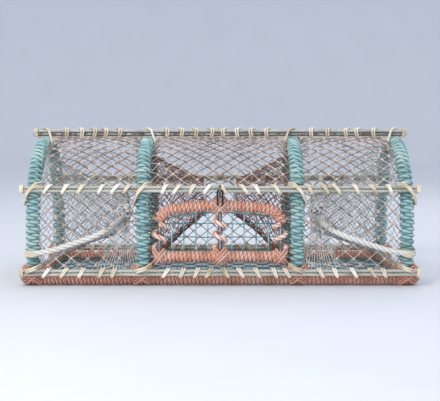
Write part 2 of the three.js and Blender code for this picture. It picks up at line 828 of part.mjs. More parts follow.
function makeHook() {
  const open = THREE.MathUtils.degToRad(30);
  const close = THREE.MathUtils.degToRad(-222);
  const line = new THREE.Path();
  line.absarc(-hookDrop, hookSetOut, hookRing, open, close, true);
  const root = line.getPoint(1);
  line.lineTo(root.x, hornReach - hornBend);
  line.quadraticCurveTo(root.x, hornReach, root.x + hornBend, hornReach);
  line.lineTo(root.x + hornRise, hornReach + hookWire / 2);
  const steps = 34;
  const sides = 6;
  add("latch_hook", tubeAlong(new PlacedCurve(line, latchPlace), hookWire, steps, sides), looks.steel);
  return root;
}

// The band is one closed loop: up one side of the hook's crook, over it and down the other
function makeBand(root) {
  const upper = latchPlace(root.x, bandSetOut);
  const bar = doorPlace(0, doorHeight);
  const lower = bar.clone();
  lower.y -= doorServingRadius + touchGap + bandRadius;
  const rise = upper.clone().sub(lower).normalize();
  upper.addScaledVector(rise, bandLift);
  lower.addScaledVector(rise, bandHalfWidth);
  const across = new THREE.Vector3(1, 0, 0);
  const out = new THREE.Vector3().crossVectors(across, rise);
  const bendSteps = 6;
  const sides = 6;
  const rings = [];
  for (const [centre, from] of [[upper, 0], [lower, Math.PI]]) {
    for (let step = 0; step <= bendSteps; step += 1) {
      const angle = from + (step / bendSteps) * Math.PI;
      const spoke = across.clone().multiplyScalar(Math.cos(angle)).addScaledVector(rise, Math.sin(angle));
      rings.push(Array.from({ length: sides }, (_, side) => {
        const turn = (side / sides) * Math.PI * 2;
        const point = centre.clone().addScaledVector(spoke, bandHalfWidth + bandRadius * Math.cos(turn));
        return point.addScaledVector(out, bandRadius * Math.sin(turn));
      }));
    }
  }
  add("latch_band", loft(rings, true), looks.rubber);
}

makeBase();
makeBow("bow_1", -endBowX, false);
makeBow("bow_2", -innerBowX, true);
makeBow("bow_3", innerBowX, true);
makeBow("bow_4", endBowX, false);
makeRod("ridge", crownAngle, 1);
makeRod("front_side", sideRodAngle, -1);
makeRod("rear_side", sideRodAngle, 1);
makeRod("front_base", 0, -1);
makeRod("rear_base", 0, 1);
makeNetting();
makeFloor();
makeFunnels();
for (const [name, side] of [["left", -1], ["right", 1]]) {
  makeBunch(name, side);
  makeWhiteRope(name, side);
}
makeStretchLine();
makeDoor();
makeBand(makeHook());

// The origin goes to the middle of the footprint, at floor level
function settle() {
  const box = new THREE.Box3().setFromObject(part);
  const middle = box.getCenter(new THREE.Vector3());
  part.children.forEach((mesh) => mesh.geometry.translate(-middle.x, -middle.y, -box.min.z));
}

settle();

console.log(`Least gap of the door lacing to itself: ${leastLacingGap.toFixed(1)} mm`);

export default part;
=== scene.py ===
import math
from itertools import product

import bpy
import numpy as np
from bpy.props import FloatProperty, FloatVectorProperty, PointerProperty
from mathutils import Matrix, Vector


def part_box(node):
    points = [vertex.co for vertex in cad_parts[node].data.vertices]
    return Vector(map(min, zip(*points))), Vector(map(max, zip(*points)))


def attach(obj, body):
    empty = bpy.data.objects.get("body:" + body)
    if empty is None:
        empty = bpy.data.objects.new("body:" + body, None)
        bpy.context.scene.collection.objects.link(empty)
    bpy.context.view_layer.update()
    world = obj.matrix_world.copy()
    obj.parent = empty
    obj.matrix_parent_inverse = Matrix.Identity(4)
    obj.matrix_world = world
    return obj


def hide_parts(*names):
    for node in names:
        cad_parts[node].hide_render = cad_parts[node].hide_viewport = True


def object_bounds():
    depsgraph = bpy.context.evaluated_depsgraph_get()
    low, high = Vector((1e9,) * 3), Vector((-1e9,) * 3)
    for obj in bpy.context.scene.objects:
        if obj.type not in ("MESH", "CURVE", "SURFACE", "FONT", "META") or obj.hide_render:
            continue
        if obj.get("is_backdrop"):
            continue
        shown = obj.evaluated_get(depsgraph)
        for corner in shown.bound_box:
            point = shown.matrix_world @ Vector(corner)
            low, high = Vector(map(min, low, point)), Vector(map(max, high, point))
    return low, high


bl_info = {
    "name": "Lobster Pot",
    "version": (1, 0, 0),
    "blender": (4, 5, 0),
    "location": "View3D > Sidebar > Lobster Pot",
    "description": "Rope-wound bows, knotted netting, funnel nets and a laced door on a half-round pot",
    "category": "Add Mesh",
}

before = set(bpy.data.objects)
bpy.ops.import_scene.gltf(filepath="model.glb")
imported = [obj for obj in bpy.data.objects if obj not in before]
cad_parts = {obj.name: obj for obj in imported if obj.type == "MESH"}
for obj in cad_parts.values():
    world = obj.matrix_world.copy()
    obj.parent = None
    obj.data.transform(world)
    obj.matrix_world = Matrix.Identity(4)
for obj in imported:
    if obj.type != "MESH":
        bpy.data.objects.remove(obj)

MM = 0.001
FULL = 2 * math.pi


# Sizes that the frame gives


def middle(node):
    low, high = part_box(node)
    return (low + high) / 2


def reach(node):
    low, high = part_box(node)
    return (high - low) / 2


BOW_X = [middle(f"bow_{k}").x for k in (1, 2, 3, 4)]
SERVING = 22 * MM
BOW_RADIUS = reach("bow_1").y - SERVING
LEG_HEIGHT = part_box("bow_1")[1].z - SERVING - BOW_RADIUS
BAR_RADIUS = 18 * MM
ROD_RADIUS = 6 * MM
ROD_NAMES = ("ridge", "front_side", "rear_side", "front_base", "rear_base")
RODS = {name: middle(f"{name}_rod") for name in ROD_NAMES}
ROD_LINE = RODS["ridge"].z - LEG_HEIGHT
HEAD_ROPE = {"radius": 4.8 * MM, "spread": 5.2 * MM, "out": 9.6 * MM}
NET_RADIUS = ROD_LINE - 7.9 * MM
SIDE_ANGLE = math.asin((RODS["front_side"].z - LEG_HEIGHT) / ROD_LINE)
BASE_ROD_HEIGHT = RODS["front_base"].z
FLOOR_HEIGHT = middle("floor_mesh").z
END_BOW_X = 0.530
INNER_BOW_X = 0.220
TOUCH_GAP = 0.3 * MM
# A rope's strands go once round in this many of its radii
LAY = 7
SIDES = (("left", -1), ("right", 1))

# The door leans in over its hinge line
HINGE = Vector((0, -BOW_RADIUS, 80 * MM))
DOOR_LEAN = math.radians(-4)
DOOR_HALF_WIDTH = 172 * MM
DOOR_CORNER = 34 * MM
DOOR_ARCH_TILT = math.radians(10)
DOOR_HEIGHT = (RODS["front_side"].z - 44 * MM - HINGE.z) / math.cos(DOOR_LEAN)
DOOR_CORNER_X = DOOR_HALF_WIDTH - DOOR_CORNER
DOOR_TURN = math.pi / 2 - DOOR_ARCH_TILT
DOOR_ARCH_RADIUS = (DOOR_CORNER_X + DOOR_CORNER * math.cos(DOOR_TURN)) / math.sin(DOOR_ARCH_TILT)
DOOR_ARCH_RISE = DOOR_ARCH_RADIUS * (1 - math.cos(DOOR_ARCH_TILT))
DOOR_CORNER_HEIGHT = DOOR_HEIGHT - DOOR_ARCH_RISE - DOOR_CORNER * math.sin(DOOR_TURN)
DOOR_ARCH_CENTRE = DOOR_HEIGHT - DOOR_ARCH_RADIUS
DOOR_SERVING = 17 * MM
DOOR_SILL_REACH = 0.186
DOOR_STUB_REACH = 0.212
MESH_BEHIND_POST = 8.05 * MM
SOLID_WIRE = 1.75 * MM

# Slots with their finishes, where several pieces share them
ORANGE = ("orange_rope", "orange_polyethylene_rope")
CREAM_TWINE = ("cream_rope", "cream_lashing_twine")


def hex_linear(code):
    """A colour written as an sRGB hex value, as linear RGB."""
    parts = [int(code[i:i + 2], 16) / 255 for i in (1, 3, 5)]
    return [c / 12.92 if c <= 0.04045 else ((c + 0.055) / 1.055) ** 2.4 for c in parts]


def length_property(name, description, millimetres):
    return FloatProperty(name=name, description=description, default=millimetres * MM, unit="LENGTH",
                         precision=4)


def colour_property(name, description, code):
    return FloatVectorProperty(name=name, description=description, default=hex_linear(code), subtype="COLOR",
                               size=3, min=0, max=1)


class PotSizes(bpy.types.PropertyGroup):
    bow_pitch: length_property("Bow winding pitch", "Distance from turn to turn of the rope on a bow", 19)
    bow_rope: length_property("Bow rope", "Diameter of the rope wound on the bows", 17.6)
    bar_pitch: length_property("Bar winding pitch", "Distance from turn to turn on base bars and door", 11.4)
    bar_rope: length_property("Bar rope", "Diameter of the rope wound on base bars and door", 10.8)
    loop_pitch: length_property("Loop spacing", "Distance from loop to loop along the head ropes", 45)
    loop_twine: length_property("Lashing twine", "Diameter of each of the two twines in a loop", 5.2)
    net_mesh: length_property("Net mesh", "Width of a diamond of the netting", 43)
    net_twine: length_property("Net twine", "Diameter of the netting's twine", 3)
    fine_twine: length_property("Fine twine", "Diameter of the funnel nets' twine", 1.5)
    square_mesh: length_property("Square mesh", "Distance from wire to wire of the floor and door mesh", 38)
    mesh_wire: length_property("Mesh wire", "Diameter of the coated wire", 3.4)
    lacing_rope: length_property("Lacing rope", "Diameter of the spiral lacing of the door", 14.2)
    white_rope: length_property("White rope", "Diameter of the laid white rope", 17)
    line: length_property("Stretch line", "Diameter of the line between the eyes", 7)


class PotColours(bpy.types.PropertyGroup):
    turquoise: colour_property("Turquoise rope", "Rope on the bows", "#A2D0D1")
    turquoise_lit: colour_property("Turquoise rope, worn", "Sun-bleached fibres on the bows", "#E0F3F2")
    orange: colour_property("Orange rope", "Rope on base bars and door", "#FBB89F")
    orange_lit: colour_property("Orange rope, worn", "Bleached fibres of the orange rope", "#FFE5DB")
    cream: colour_property("Head rope", "Rope along the rods", "#D6D6CC")
    cream_lit: colour_property("Head rope, worn", "Cleaner parts of the head rope", "#F0EFE9")
    twine: colour_property("Net twine", "Netting", "#AFA095")
    knot: colour_property("Net knot", "Knots of the netting", "#DFD0C7")
    teal: colour_property("Mesh", "Coated wire mesh", "#3E8288")
    teal_lit: colour_property("Mesh, worn", "Rubbed parts of the coated wire", "#9CC9CA")
    pale_net: colour_property("Entrance net", "Fine net of the entrances", "#AEB4B4")
    brown_net: colour_property("Parlour net", "Fine net of the parlour", "#7A4636")
    white: colour_property("White rope", "Laid white rope", "#ECECE7")
    gathered: colour_property("Gathered net", "Net gathered beside the entrance rings", "#DDE1E4")
    backdrop: colour_property("Backdrop", "Floor and backdrop", "#D2D6DE")
    sky: colour_property("Studio light", "Light from all round", "#E2E6EE")


def sizes():
    return bpy.context.scene.pot_sizes


def colours():
    return bpy.context.scene.pot_colours


# Meshes: tubes and knots gathered into one piece


class Weave:
    """Gathers tubes into one mesh, with strand coordinates and two values a point."""

    def __init__(self):
        self.points = []
        self.faces = []
        self.uvs = []
        self.crest = []
        self.tint = []
        self.count = 0

    def add(self, points, faces, uvs, crest, tint):
        self.points.append(points)
        self.faces += [f + self.count for f in faces]
        self.uvs += uvs
        self.crest.append(crest)
        self.tint.append(tint)
        self.count += len(points)

    def tubes(self, paths, normals, radius, sides=6, lay=0.0, depth=0.0, tint=0.5, closed=False, floor=None):
        """Sweeps a round or three-strand section along paths, an array of (tubes, steps, 3)."""
        paths = np.asarray(paths, float)
        if paths.ndim == 2:
            paths = paths[None]
        count, steps, _ = paths.shape
        if closed:
            tangents = np.roll(paths, -1, 1) - np.roll(paths, 1, 1)
        else:
            tangents = np.gradient(paths, axis=1)
        tangents /= np.linalg.norm(tangents, axis=2, keepdims=True) + 1e-12
        normals = np.broadcast_to(np.asarray(normals, float), paths.shape).copy()
        normals -= tangents * (normals * tangents).sum(2, keepdims=True)
        normals /= np.linalg.norm(normals, axis=2, keepdims=True) + 1e-12
        across = np.cross(tangents, normals)
        gaps = np.linalg.norm(np.diff(paths, axis=1), axis=2)
        run = np.concatenate([np.zeros((count, 1)), np.cumsum(gaps, 1)], 1)
        theta = np.arange(sides) / sides * FULL
        share = 1 - depth * (0.5 + 0.5 * np.cos(3 * theta)) ** 1.5
        twist = run * (FULL / lay) if lay else np.zeros_like(run)
        angle = theta[None, None] + twist[..., None]
        spread = np.asarray(radius, float)
        spread = spread[..., None] if spread.ndim else spread
        size = (share[None, None] * spread)[..., None]
        ring = np.cos(angle)[..., None] * normals[:, :, None] + np.sin(angle)[..., None] * across[:, :, None]
        points = (paths[:, :, None] + size * ring).reshape(-1, 3)
        if floor is not None:
            points[:, 2] = np.maximum(points[:, 2], floor)
        rows = steps if closed else steps - 1
        tube, row, side = np.meshgrid(np.arange(count), np.arange(rows), np.arange(sides), indexing="ij")
        base, turn, after = tube * steps * sides, (side + 1) % sides, (row + 1) % steps
        quads = np.stack([
            base + row * sides + side, base + row * sides + turn,
            base + after * sides + turn, base + after * sides + side,
        ], -1).reshape(-1, 4)
        end = run[:, -1:] + (gaps[:, :1] if closed else 0)
        full = np.concatenate([run, end], 1) if closed else run
        u0, u1 = side / sides, (side + 1) / sides
        v0, v1 = full[tube, row], full[tube, row + 1]
        uvs = [np.stack([np.stack([u0, v0], -1), np.stack([u1, v0], -1),
                         np.stack([u1, v1], -1), np.stack([u0, v1], -1)], 3).reshape(-1, 2)]
        faces = [quads]
        if not closed:
            starts = np.arange(count)[:, None] * steps * sides
            order = np.arange(sides)[None]
            for caps in (starts + order[:, ::-1], starts + (steps - 1) * sides + order):
                faces.append(caps)
                uvs.append(np.zeros((caps.size, 2)))
        crest = np.broadcast_to((share - share.min()) / max(np.ptp(share), 1e-9) if depth else 1.0,
                                (count, steps, sides)).reshape(-1)
        tints = np.asarray(tint, float)
        tints = tints.reshape(tints.shape + (1,) * (3 - tints.ndim))
        tints = np.broadcast_to(tints, (count, steps, sides)).reshape(-1)
        self.add(points, faces, uvs, crest, tints)

    def build(self, name, body, slot, finish, *replaced):
        """Makes the gathered tubes into one named piece that rides on a body."""
        mesh = bpy.data.meshes.new(name)
        points = np.concatenate(self.points)
        sizes_of = np.concatenate([np.full(len(f), f.shape[1]) for f in self.faces])
        corners = np.concatenate([f.reshape(-1) for f in self.faces])
        mesh.vertices.add(len(points))
        mesh.vertices.foreach_set("co", points.astype(np.float32).reshape(-1))
        mesh.loops.add(len(corners))
        mesh.loops.foreach_set("vertex_index", corners.astype(np.int32))
        mesh.polygons.add(len(sizes_of))
        starts = np.concatenate([[0], np.cumsum(sizes_of)[:-1]])
        mesh.polygons.foreach_set("loop_start", starts.astype(np.int32))
        mesh.uv_layers.new(name="strand")
        mesh.update(calc_edges=True)
        uvs = np.concatenate(self.uvs).astype(np.float32).reshape(-1)
        mesh.uv_layers["strand"].data.foreach_set("uv", uvs)
        for label, values in (("crest", self.crest), ("tint", self.tint)):
            attribute = mesh.attributes.new(label, "FLOAT", "POINT")
            attribute.data.foreach_set("value", np.concatenate(values).astype(np.float32))
        mesh.polygons.foreach_set("use_smooth", np.ones(len(sizes_of), bool))
        mesh.materials.append(finish_of(finish))
        mesh.validate()
        piece = bpy.data.objects.new(name, mesh)
        bpy.context.scene.collection.objects.link(piece)
        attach(piece, body)
        if replaced:
            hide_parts(*replaced)
        return piece


def wander(values, seed, wavelength):
    """Smooth repeatable noise between -1 and 1 along a run."""
    maker = np.random.default_rng(seed)
    total = np.zeros_like(values)
    for k in range(4):
        total += np.sin(values * FULL / (wavelength * maker.uniform(0.5, 1.9)) + maker.uniform(0, FULL))
    return total / 4


def spline(points, count):
    """A Catmull-Rom line through points, as many steps as asked, evenly spaced."""
    p = np.asarray(points, float)
    p = np.concatenate([[2 * p[0] - p[1]], p, [2 * p[-1] - p[-2]]])
    out = []
    for k in range(1, len(p) - 2):
        t = np.linspace(0, 1, 24, endpoint=False)[:, None]
        a, b, c, d = p[k - 1], p[k], p[k + 1], p[k + 2]
        out.append(0.5 * (2 * b + (c - a) * t + (2 * a - 5 * b + 4 * c - d) * t ** 2
                          + (3 * b - a - 3 * c + d) * t ** 3))
    return evened(np.concatenate(out + [p[-2:-1]]), count)


def run_along(line):
    """Distance along a line at each of its points."""
    return np.concatenate([[0], np.cumsum(np.linalg.norm(np.diff(line, axis=0), axis=1))])


def circle(count):
    """Angles round a full turn, without the one that closes it."""
    return np.linspace(0, FULL, count + 1)[:-1]


def evened(line, count):
    """The same line with as many points as asked, evenly spaced."""
    line = np.asarray(line, float)
    run = run_along(line)
    at = np.linspace(0, run[-1], count)
    return np.stack([np.interp(at, run, line[:, k]) for k in range(3)], 1)


def carried(line, closed=False):
    """Normals that follow a line without twisting."""
    line = np.asarray(line, float)
    tangents = np.roll(line, -1, 0) - np.roll(line, 1, 0) if closed else np.gradient(line, axis=0)
    tangents /= np.linalg.norm(tangents, axis=1, keepdims=True) + 1e-12
    axis = np.eye(3)[np.argmin(np.abs(tangents[0]))]
    normal = axis - tangents[0] * (axis @ tangents[0])
    out = []
    for t in tangents:
        normal = normal - t * (normal @ t)
        normal /= np.linalg.norm(normal) + 1e-12
        out.append(normal)
    return np.array(out)


def wound(weave, place, total, core, rope, pitch, seed, depth, steps, sides, tint, uneven, floor=None):
    """Rope wound turn by turn round a bar. place gives centre, outward and sideways directions along it."""
    turns = total / pitch
    phase = np.linspace(0, turns * FULL, int(turns * steps) + 1)
    run = phase / FULL * pitch
    shift = uneven * pitch * wander(run, seed, 7 * pitch)
    edge = np.minimum(1, np.minimum(run, total - run) / (3 * pitch))
    run = np.clip(run + shift * edge, 0, total)
    centre, outward, sideways = place(run)
    radial = np.cos(phase)[:, None] * outward + np.sin(phase)[:, None] * sideways
    thick = rope * (1 + 0.5 * uneven * wander(run, seed + 1, 3 * pitch))
    path = centre + radial * (core + uneven * 0.12 * rope * wander(run, seed + 2, 4 * pitch))[:, None]
    shade = np.clip(tint + 0.32 * wander(run, seed + 3, 5 * pitch) + 0.1 * wander(phase, seed + 4, 5), 0, 1)
    weave.tubes(path, radial, thick, sides, lay=rope * LAY, depth=depth, tint=shade[None], floor=floor)
    run = np.linspace(0, total, max(2, int(total / (4 * pitch)) + 2) * 3)
    centre, outward, _ = place(run)
    weave.tubes(centre, outward, core - 0.45 * rope, 12, tint=tint)


def hull_loop(circles, around, count):
    """A line pulled tight round some circles (x, y, radius), as points and outward directions."""
    theta = np.linspace(0, FULL, 721)
    way = np.stack([np.cos(theta), np.sin(theta)], 1)
    discs = np.asarray(circles, float)
    support = way @ discs[:, :2].T + discs[:, 2]
    best = support.argmax(1)
    line = discs[best, :2] + way * (discs[best, 2] + around)[:, None]
    run = run_along(line)
    at = np.linspace(0, run[-1], count)
    points = np.stack([np.interp(at, run, line[:, k]) for k in range(2)], 1)
    ways = np.stack([np.interp(at, run, way[:, k]) for k in range(2)], 1)
    return points, ways / np.linalg.norm(ways, axis=1, keepdims=True)


# Materials


def put(tree, kind, links=None, stops=None, **settings):
    """Adds one shader node with its settings, and its sockets' values or links."""
    made = tree.nodes.new("ShaderNode" + kind)
    for key, value in settings.items():
        setattr(made, key, value)
    if stops:
        while len(made.color_ramp.elements) < len(stops):
            made.color_ramp.elements.new(0.5)
        for element, (at, colour) in zip(made.color_ramp.elements, stops):
            element.position = at
            element.color = (*colour, 1)
    for key, value in (links or {}).items():
        if isinstance(value, bpy.types.NodeSocket):
            tree.links.new(value, made.inputs[key])
        else:
            made.inputs[key].default_value = value
    return made


def started(name):
    """A new material, its empty node tree and the piece's own coordinates."""
    material = bpy.data.materials.new(name)
    material.use_nodes = True
    tree = material.node_tree
    tree.nodes.clear()
    return material, tree, put(tree, "TexCoord").outputs["Object"]


def finished(tree, links):
    shader = put(tree, "BsdfPrincipled", links)
    put(tree, "OutputMaterial", {"Surface": shader.outputs[0]})


def attribute(tree, name):
    return put(tree, "Attribute", attribute_name=name).outputs["Fac"]


def round_and_along(tree):
    """Share of the way round a strand, and distance along it."""
    strand = put(tree, "UVMap", uv_map="strand")
    split = put(tree, "SeparateXYZ", {0: strand.outputs[0]})
    return split.outputs[0], split.outputs[1]


def noise(tree, coords, width, detail):
    """Noise whose patches are about as wide as said."""
    return put(tree, "TexNoise", {"Vector": coords, "Scale": 1 / width, "Detail": detail}).outputs["Fac"]


def maths(tree, operation, *values, **settings):
    return put(tree, "Math", dict(enumerate(values)), operation=operation, **settings).outputs[0]


def mapped(tree, value, low=0.0, high=1.0, to_low=0.0, to_high=1.0):
    return put(tree, "MapRange", {"Value": value, "From Min": low, "From Max": high,
                                  "To Min": to_low, "To Max": to_high}).outputs[0]


def mixed(tree, share, first, second, **settings):
    return put(tree, "MixRGB", {"Fac": share, "Color1": first, "Color2": second}, **settings).outputs[0]


def ramp(tree, value, *stops):
    return put(tree, "ValToRGB", {"Fac": value}, stops=stops).outputs[0]


def bump(tree, height, strength, distance):
    return put(tree, "Bump", {"Height": height, "Strength": strength, "Distance": distance}).outputs[0]


def laid_rope(name, base, lit, groove_shade_and_dirt, rope, groove_shade_and_dirt_share=0.75, stain="#7F8C5E", stained=0.25):
    """Laid split-film rope: matt, hairy yarns, bleached on the crests and dark in the grooves, where painted
    shade and dirt are mixed in.
    """
    material, tree, coords = started(name)
    turn, run = round_and_along(tree)
    # yarns are about 1.1 mm wide, in a number that the three strands share evenly
    yarns = max(9, round(math.pi * rope / (1.1 * MM) / 3) * 3)
    lean = maths(tree, "MULTIPLY_ADD", run, yarns / (rope * 3.5), 0.0)
    phase = maths(tree, "MULTIPLY_ADD", turn, float(yarns), lean)
    bent = maths(tree, "MULTIPLY_ADD", noise(tree, coords, 4 * MM, 3.0), 1.6, phase)
    yarn = mapped(tree, maths(tree, "SINE", maths(tree, "MULTIPLY", bent, FULL)), -1.0)
    worn = maths(tree, "MULTIPLY_ADD", noise(tree, coords, 45 * MM, 4.0), 0.9, attribute(tree, "tint"))
    main = ramp(tree, mapped(tree, worn, 0.45, 1.45), (0.0, [c * 0.62 for c in base]), (0.42, base), (1.0, lit))
    moss = mapped(tree, noise(tree, coords, 90 * MM, 5.0), 0.52, 0.74, 0.0, stained)
    mossy = mixed(tree, moss, main, (*hex_linear(stain), 1))
    # painted shade and dirt: the grooves between the strands are darkened towards the groove colour
    groove = mapped(tree, attribute(tree, "crest"), 0.0, 0.75, groove_shade_and_dirt_share, 0.0)
    dirt_and_groove_shade = mixed(tree, groove, mossy, (*groove_shade_and_dirt, 1))
    streak = mapped(tree, yarn, to_low=0.78, to_high=1.08)
    shaded = mixed(tree, 1.0, dirt_and_groove_shade, streak, blend_type="MULTIPLY")
    height = maths(tree, "MULTIPLY_ADD", noise(tree, coords, 1.2 * MM, 2.0), 0.6, yarn)
    finished(tree, {"Base Color": shaded, "Roughness": 0.85, "Sheen Weight": 0.22, "Sheen Roughness": 0.5,
                    "Normal": bump(tree, height, 0.75, 0.5 * MM), "Specular IOR Level": 0.3})
    return material


def braided_twine(name, base, lit, pitch, darkest=0.42):
    """Twisted polyethylene twine: dull, a little hairy, darker where it is wet or soiled, paler at the knots.
    With a low darkest share, as on the gathered net, the dark end is painted shade.
    """
    material, tree, coords = started(name)
    turn, run = round_and_along(tree)
    # the three strands make one turn in a pitch, given in millimetres
    phase = maths(tree, "MULTIPLY_ADD", run, 1 / (pitch * MM), turn)
    twist = mapped(tree, maths(tree, "SINE", maths(tree, "MULTIPLY", phase, FULL * 3)), -1.0)
    patches = mapped(tree, noise(tree, coords, 50 * MM, 4.0), 0.3, 0.7, -0.35, 0.35)
    level = maths(tree, "ADD", attribute(tree, "tint"), patches, use_clamp=True)
    main = ramp(tree, level, (0.0, [c * darkest for c in base]), (0.45, base), (1.0, lit))
    streak = mapped(tree, twist, to_low=0.72, to_high=1.05)
    shaded = mixed(tree, 1.0, main, streak, blend_type="MULTIPLY")
    finished(tree, {"Base Color": shaded, "Roughness": 0.9, "Normal": bump(tree, twist, 0.6, 0.3 * MM),
                    "Sheen Weight": 0.15, "Specular IOR Level": 0.3})
    return material


def coated_wire(name, base, lit):
    """Steel wire coated in polyvinyl chloride: a soft gloss, chalky where weed and sun have rubbed it."""
    material, tree, coords = started(name)
    chalk = noise(tree, coords, 4 * MM, 3.0)
    rubbed = maths(tree, "MULTIPLY", noise(tree, coords, 30 * MM, 6.0), attribute(tree, "tint"))
    main = ramp(tree, mapped(tree, rubbed, 0.12, 0.55), (0.0, [c * 0.5 for c in base]), (0.5, base), (1.0, lit))
    finished(tree, {"Base Color": main, "Roughness": mapped(tree, chalk, to_low=0.35, to_high=0.8),
                    "Normal": bump(tree, chalk, 0.3, 0.3 * MM)})
    return material


def galvanised_steel(name):
    """Hot-dipped galvanised bar: dull grey zinc with rust coming through in spots."""
    material, tree, coords = started(name)
    spangle = put(tree, "TexVoronoi", {"Vector": coords, "Scale": 1 / (6 * MM)})
    spots = noise(tree, coords, 12 * MM, 8.0)
    rusty = mapped(tree, spots, 0.5, 0.68)
    zinc = ramp(tree, spangle.outputs["Color"], (0.0, hex_linear("#6C7072")), (1.0, hex_linear("#9A9D9C")))
    finished(tree, {"Base Color": mixed(tree, rusty, zinc, (*hex_linear("#54453B"), 1)),
                    "Metallic": mapped(tree, rusty, to_low=0.85, to_high=0.05),
                    "Roughness": mapped(tree, rusty, to_low=0.45, to_high=0.9),
                    "Normal": bump(tree, spots, 0.5, 0.4 * MM)})
    return material


def natural_rubber(name):
    """Cut inner-tube rubber: black, matt, greyed by salt."""
    material, tree, coords = started(name)
    bloom = noise(tree, coords, 8 * MM, 5.0)
    main = ramp(tree, bloom, (0.35, hex_linear("#151515")), (0.8, hex_linear("#3A3A39")))
    finished(tree, {"Base Color": main, "Roughness": 0.72, "Normal": bump(tree, bloom, 0.3, 0.2 * MM)})
    return material


def painted_board(name):
    """Emulsion-painted board: even and matt, so that only the pot's shadow shows on it."""
    material, tree, coords = started(name)
    base = list(colours().backdrop)
    main = ramp(tree, noise(tree, coords, 1 / 3, 3.0), (0.3, [c * 0.97 for c in base]), (0.7, base))
    finished(tree, {"Base Color": main, "Roughness": 0.9, "Specular IOR Level": 0.2})
    return material


def finish_of(name):
    """Each finish is made once and shared by the pieces that have it."""
    found = bpy.data.materials.get(name)
    if found:
        return found
    c, s, tone = colours(), sizes(), hex_linear
    # each rope: base colour, worn colour, groove colour, rope size, stains and groove shading; the groove colour
    # is painted shade and dirt
    ropes = {
        "turquoise_polypropylene_rope": (c.turquoise, c.turquoise_lit, "#143F43", s.bow_rope,
                                         {"stain": "#A3B894", "stained": 0.36}),
        "orange_polyethylene_rope": (c.orange, c.orange_lit, "#64261A", s.bar_rope, {"stained": 0.1}),
        "cream_head_rope": (c.cream, c.cream_lit, "#5F5D4A", 9 * MM, {"groove_shade_and_dirt_share": 0.6, "stained": 0.5}),
        "white_laid_rope": (c.white, tone("#F4F3EE"), "#8E8D84", s.white_rope,
                            {"groove_shade_and_dirt_share": 0.45, "stained": 0.08}),
        "orange_line": (tone("#C97F60"), tone("#EDB79E"), "#7A3A28", s.line, {"stained": 0.1}),
    }
    twines = {
        "cream_lashing_twine": (tone("#DCCDB4"), tone("#F3EFE4"), 9.0),
        "tan_net_twine": (c.twine, c.knot, 5.0),
        "pale_fine_net": (c.pale_net, tone("#DADEDD"), 3.0),
        # the gathered net's lowest stop is near black: painted shade between its strands and at its core
        "gathered_fine_net": (c.gathered, tone("#F6F8F9"), 3.0, 0.1),
        "brown_fine_net": (c.brown_net, tone("#B5806B"), 3.0),
    }
    if name in ropes:
        base, lit, groove_shade_and_dirt, rope, stains_and_groove_shade = ropes[name]
        return laid_rope(name, list(base), list(lit), tone(groove_shade_and_dirt), rope, **stains_and_groove_shade)
    if name in twines:
        base, lit, *rest = twines[name]
        return braided_twine(name, list(base), list(lit), *rest)
    if name == "coated_mesh_wire":
        return coated_wire(name, list(c.teal), list(c.teal_lit))
    others = {"galvanised_steel": galvanised_steel, "natural_rubber": natural_rubber,
              "painted_board": painted_board}
    return others[name](name)


# Lines and surfaces of the pot


def along(line, sideways):
    """Centre, outward and sideways directions at any run along a line."""
    line = np.asarray(line, float)
    run = run_along(line)
    tangent = np.gradient(line, axis=0)
    tangent /= np.linalg.norm(tangent, axis=1, keepdims=True)
    side = np.asarray(sideways, float)
    outward = np.cross(np.broadcast_to(side, tangent.shape), tangent)

    def place(at):
        pick = lambda values: np.stack([np.interp(at, run, values[:, k]) for k in range(3)], 1)
        out = pick(outward)
        out /= np.linalg.norm(out, axis=1, keepdims=True)
        return pick(line), out, np.broadcast_to(side, out.shape)

    return place, run[-1]


def wind_bar(weave, line, sideways, radius, seed, tint, floor=None):
    """Orange rope wound on a bar of the base or the door, out to a radius."""
    s = sizes()
    rope = s.bar_rope / 2
    place, total = along(line, sideways)
    wound(weave, place, total, radius - rope, rope, s.bar_pitch, seed, 0.13, 16, 12, tint, 0.1, floor)


def bow_line(x, foot):
    angle = np.linspace(0, math.pi, 120)
    y = np.concatenate([[-BOW_RADIUS], -BOW_RADIUS * np.cos(angle), [BOW_RADIUS]])
    z = np.concatenate([[foot], LEG_HEIGHT + BOW_RADIUS * np.sin(angle), [foot]])
    return np.stack([np.full_like(y, x), y, z], 1)


def rod_ways(name):
    """Outward and rising directions of the section at a rod."""
    rod = RODS[name]
    if name.endswith("base"):
        outward = Vector((0, math.copysign(1, rod.y), 0))
    else:
        outward = Vector((0, rod.y, rod.z - LEG_HEIGHT)).normalized()
    rising = Vector((0, -outward.z * math.copysign(1, rod.y or 1), abs(outward.y)))
    return rod, np.array(outward), np.array(rising)


def by_rod(name, x, rise, out):
    """Points beside a rod: so far along it, round the section and outwards."""
    rod, outward, rising = rod_ways(name)
    x, rise, out = (np.asarray(value, float)[..., None] for value in (x, rise, out))
    return np.array(rod) * [0, 1, 1] + x * [1, 0, 0] + rise * rising + out * outward


def net_surface(side, x, run, out):
    """A point of the netting's surface, and its outward direction."""
    leg = LEG_HEIGHT - BASE_ROD_HEIGHT
    x, run, out = np.broadcast_arrays(x, run, out)
    angle = np.maximum(0, run - leg) / NET_RADIUS
    radius = NET_RADIUS + out
    z = np.where(run < leg, BASE_ROD_HEIGHT + run, LEG_HEIGHT + radius * np.sin(angle))
    point = np.stack([x, side * radius * np.cos(angle), z], -1)
    way = np.stack([np.zeros_like(angle), side * np.cos(angle), np.sin(angle)], -1)
    return point, way


def run_at(angle):
    """Distance up the netting from the base rod to an angle of the round part."""
    return LEG_HEIGHT - BASE_ROD_HEIGHT + angle * NET_RADIUS


def door_place(across, up, back=0.0):
    """A point of the door, drawn upright over its hinge line and then leaned in."""
    across, up, back = np.broadcast_arrays(across, up, back)
    c, s = math.cos(DOOR_LEAN), math.sin(DOOR_LEAN)
    return np.stack([across, HINGE.y + back * c - up * s, HINGE.z + back * s + up * c], -1)


DOOR_BACK = np.array([0, math.cos(DOOR_LEAN), math.sin(DOOR_LEAN)])


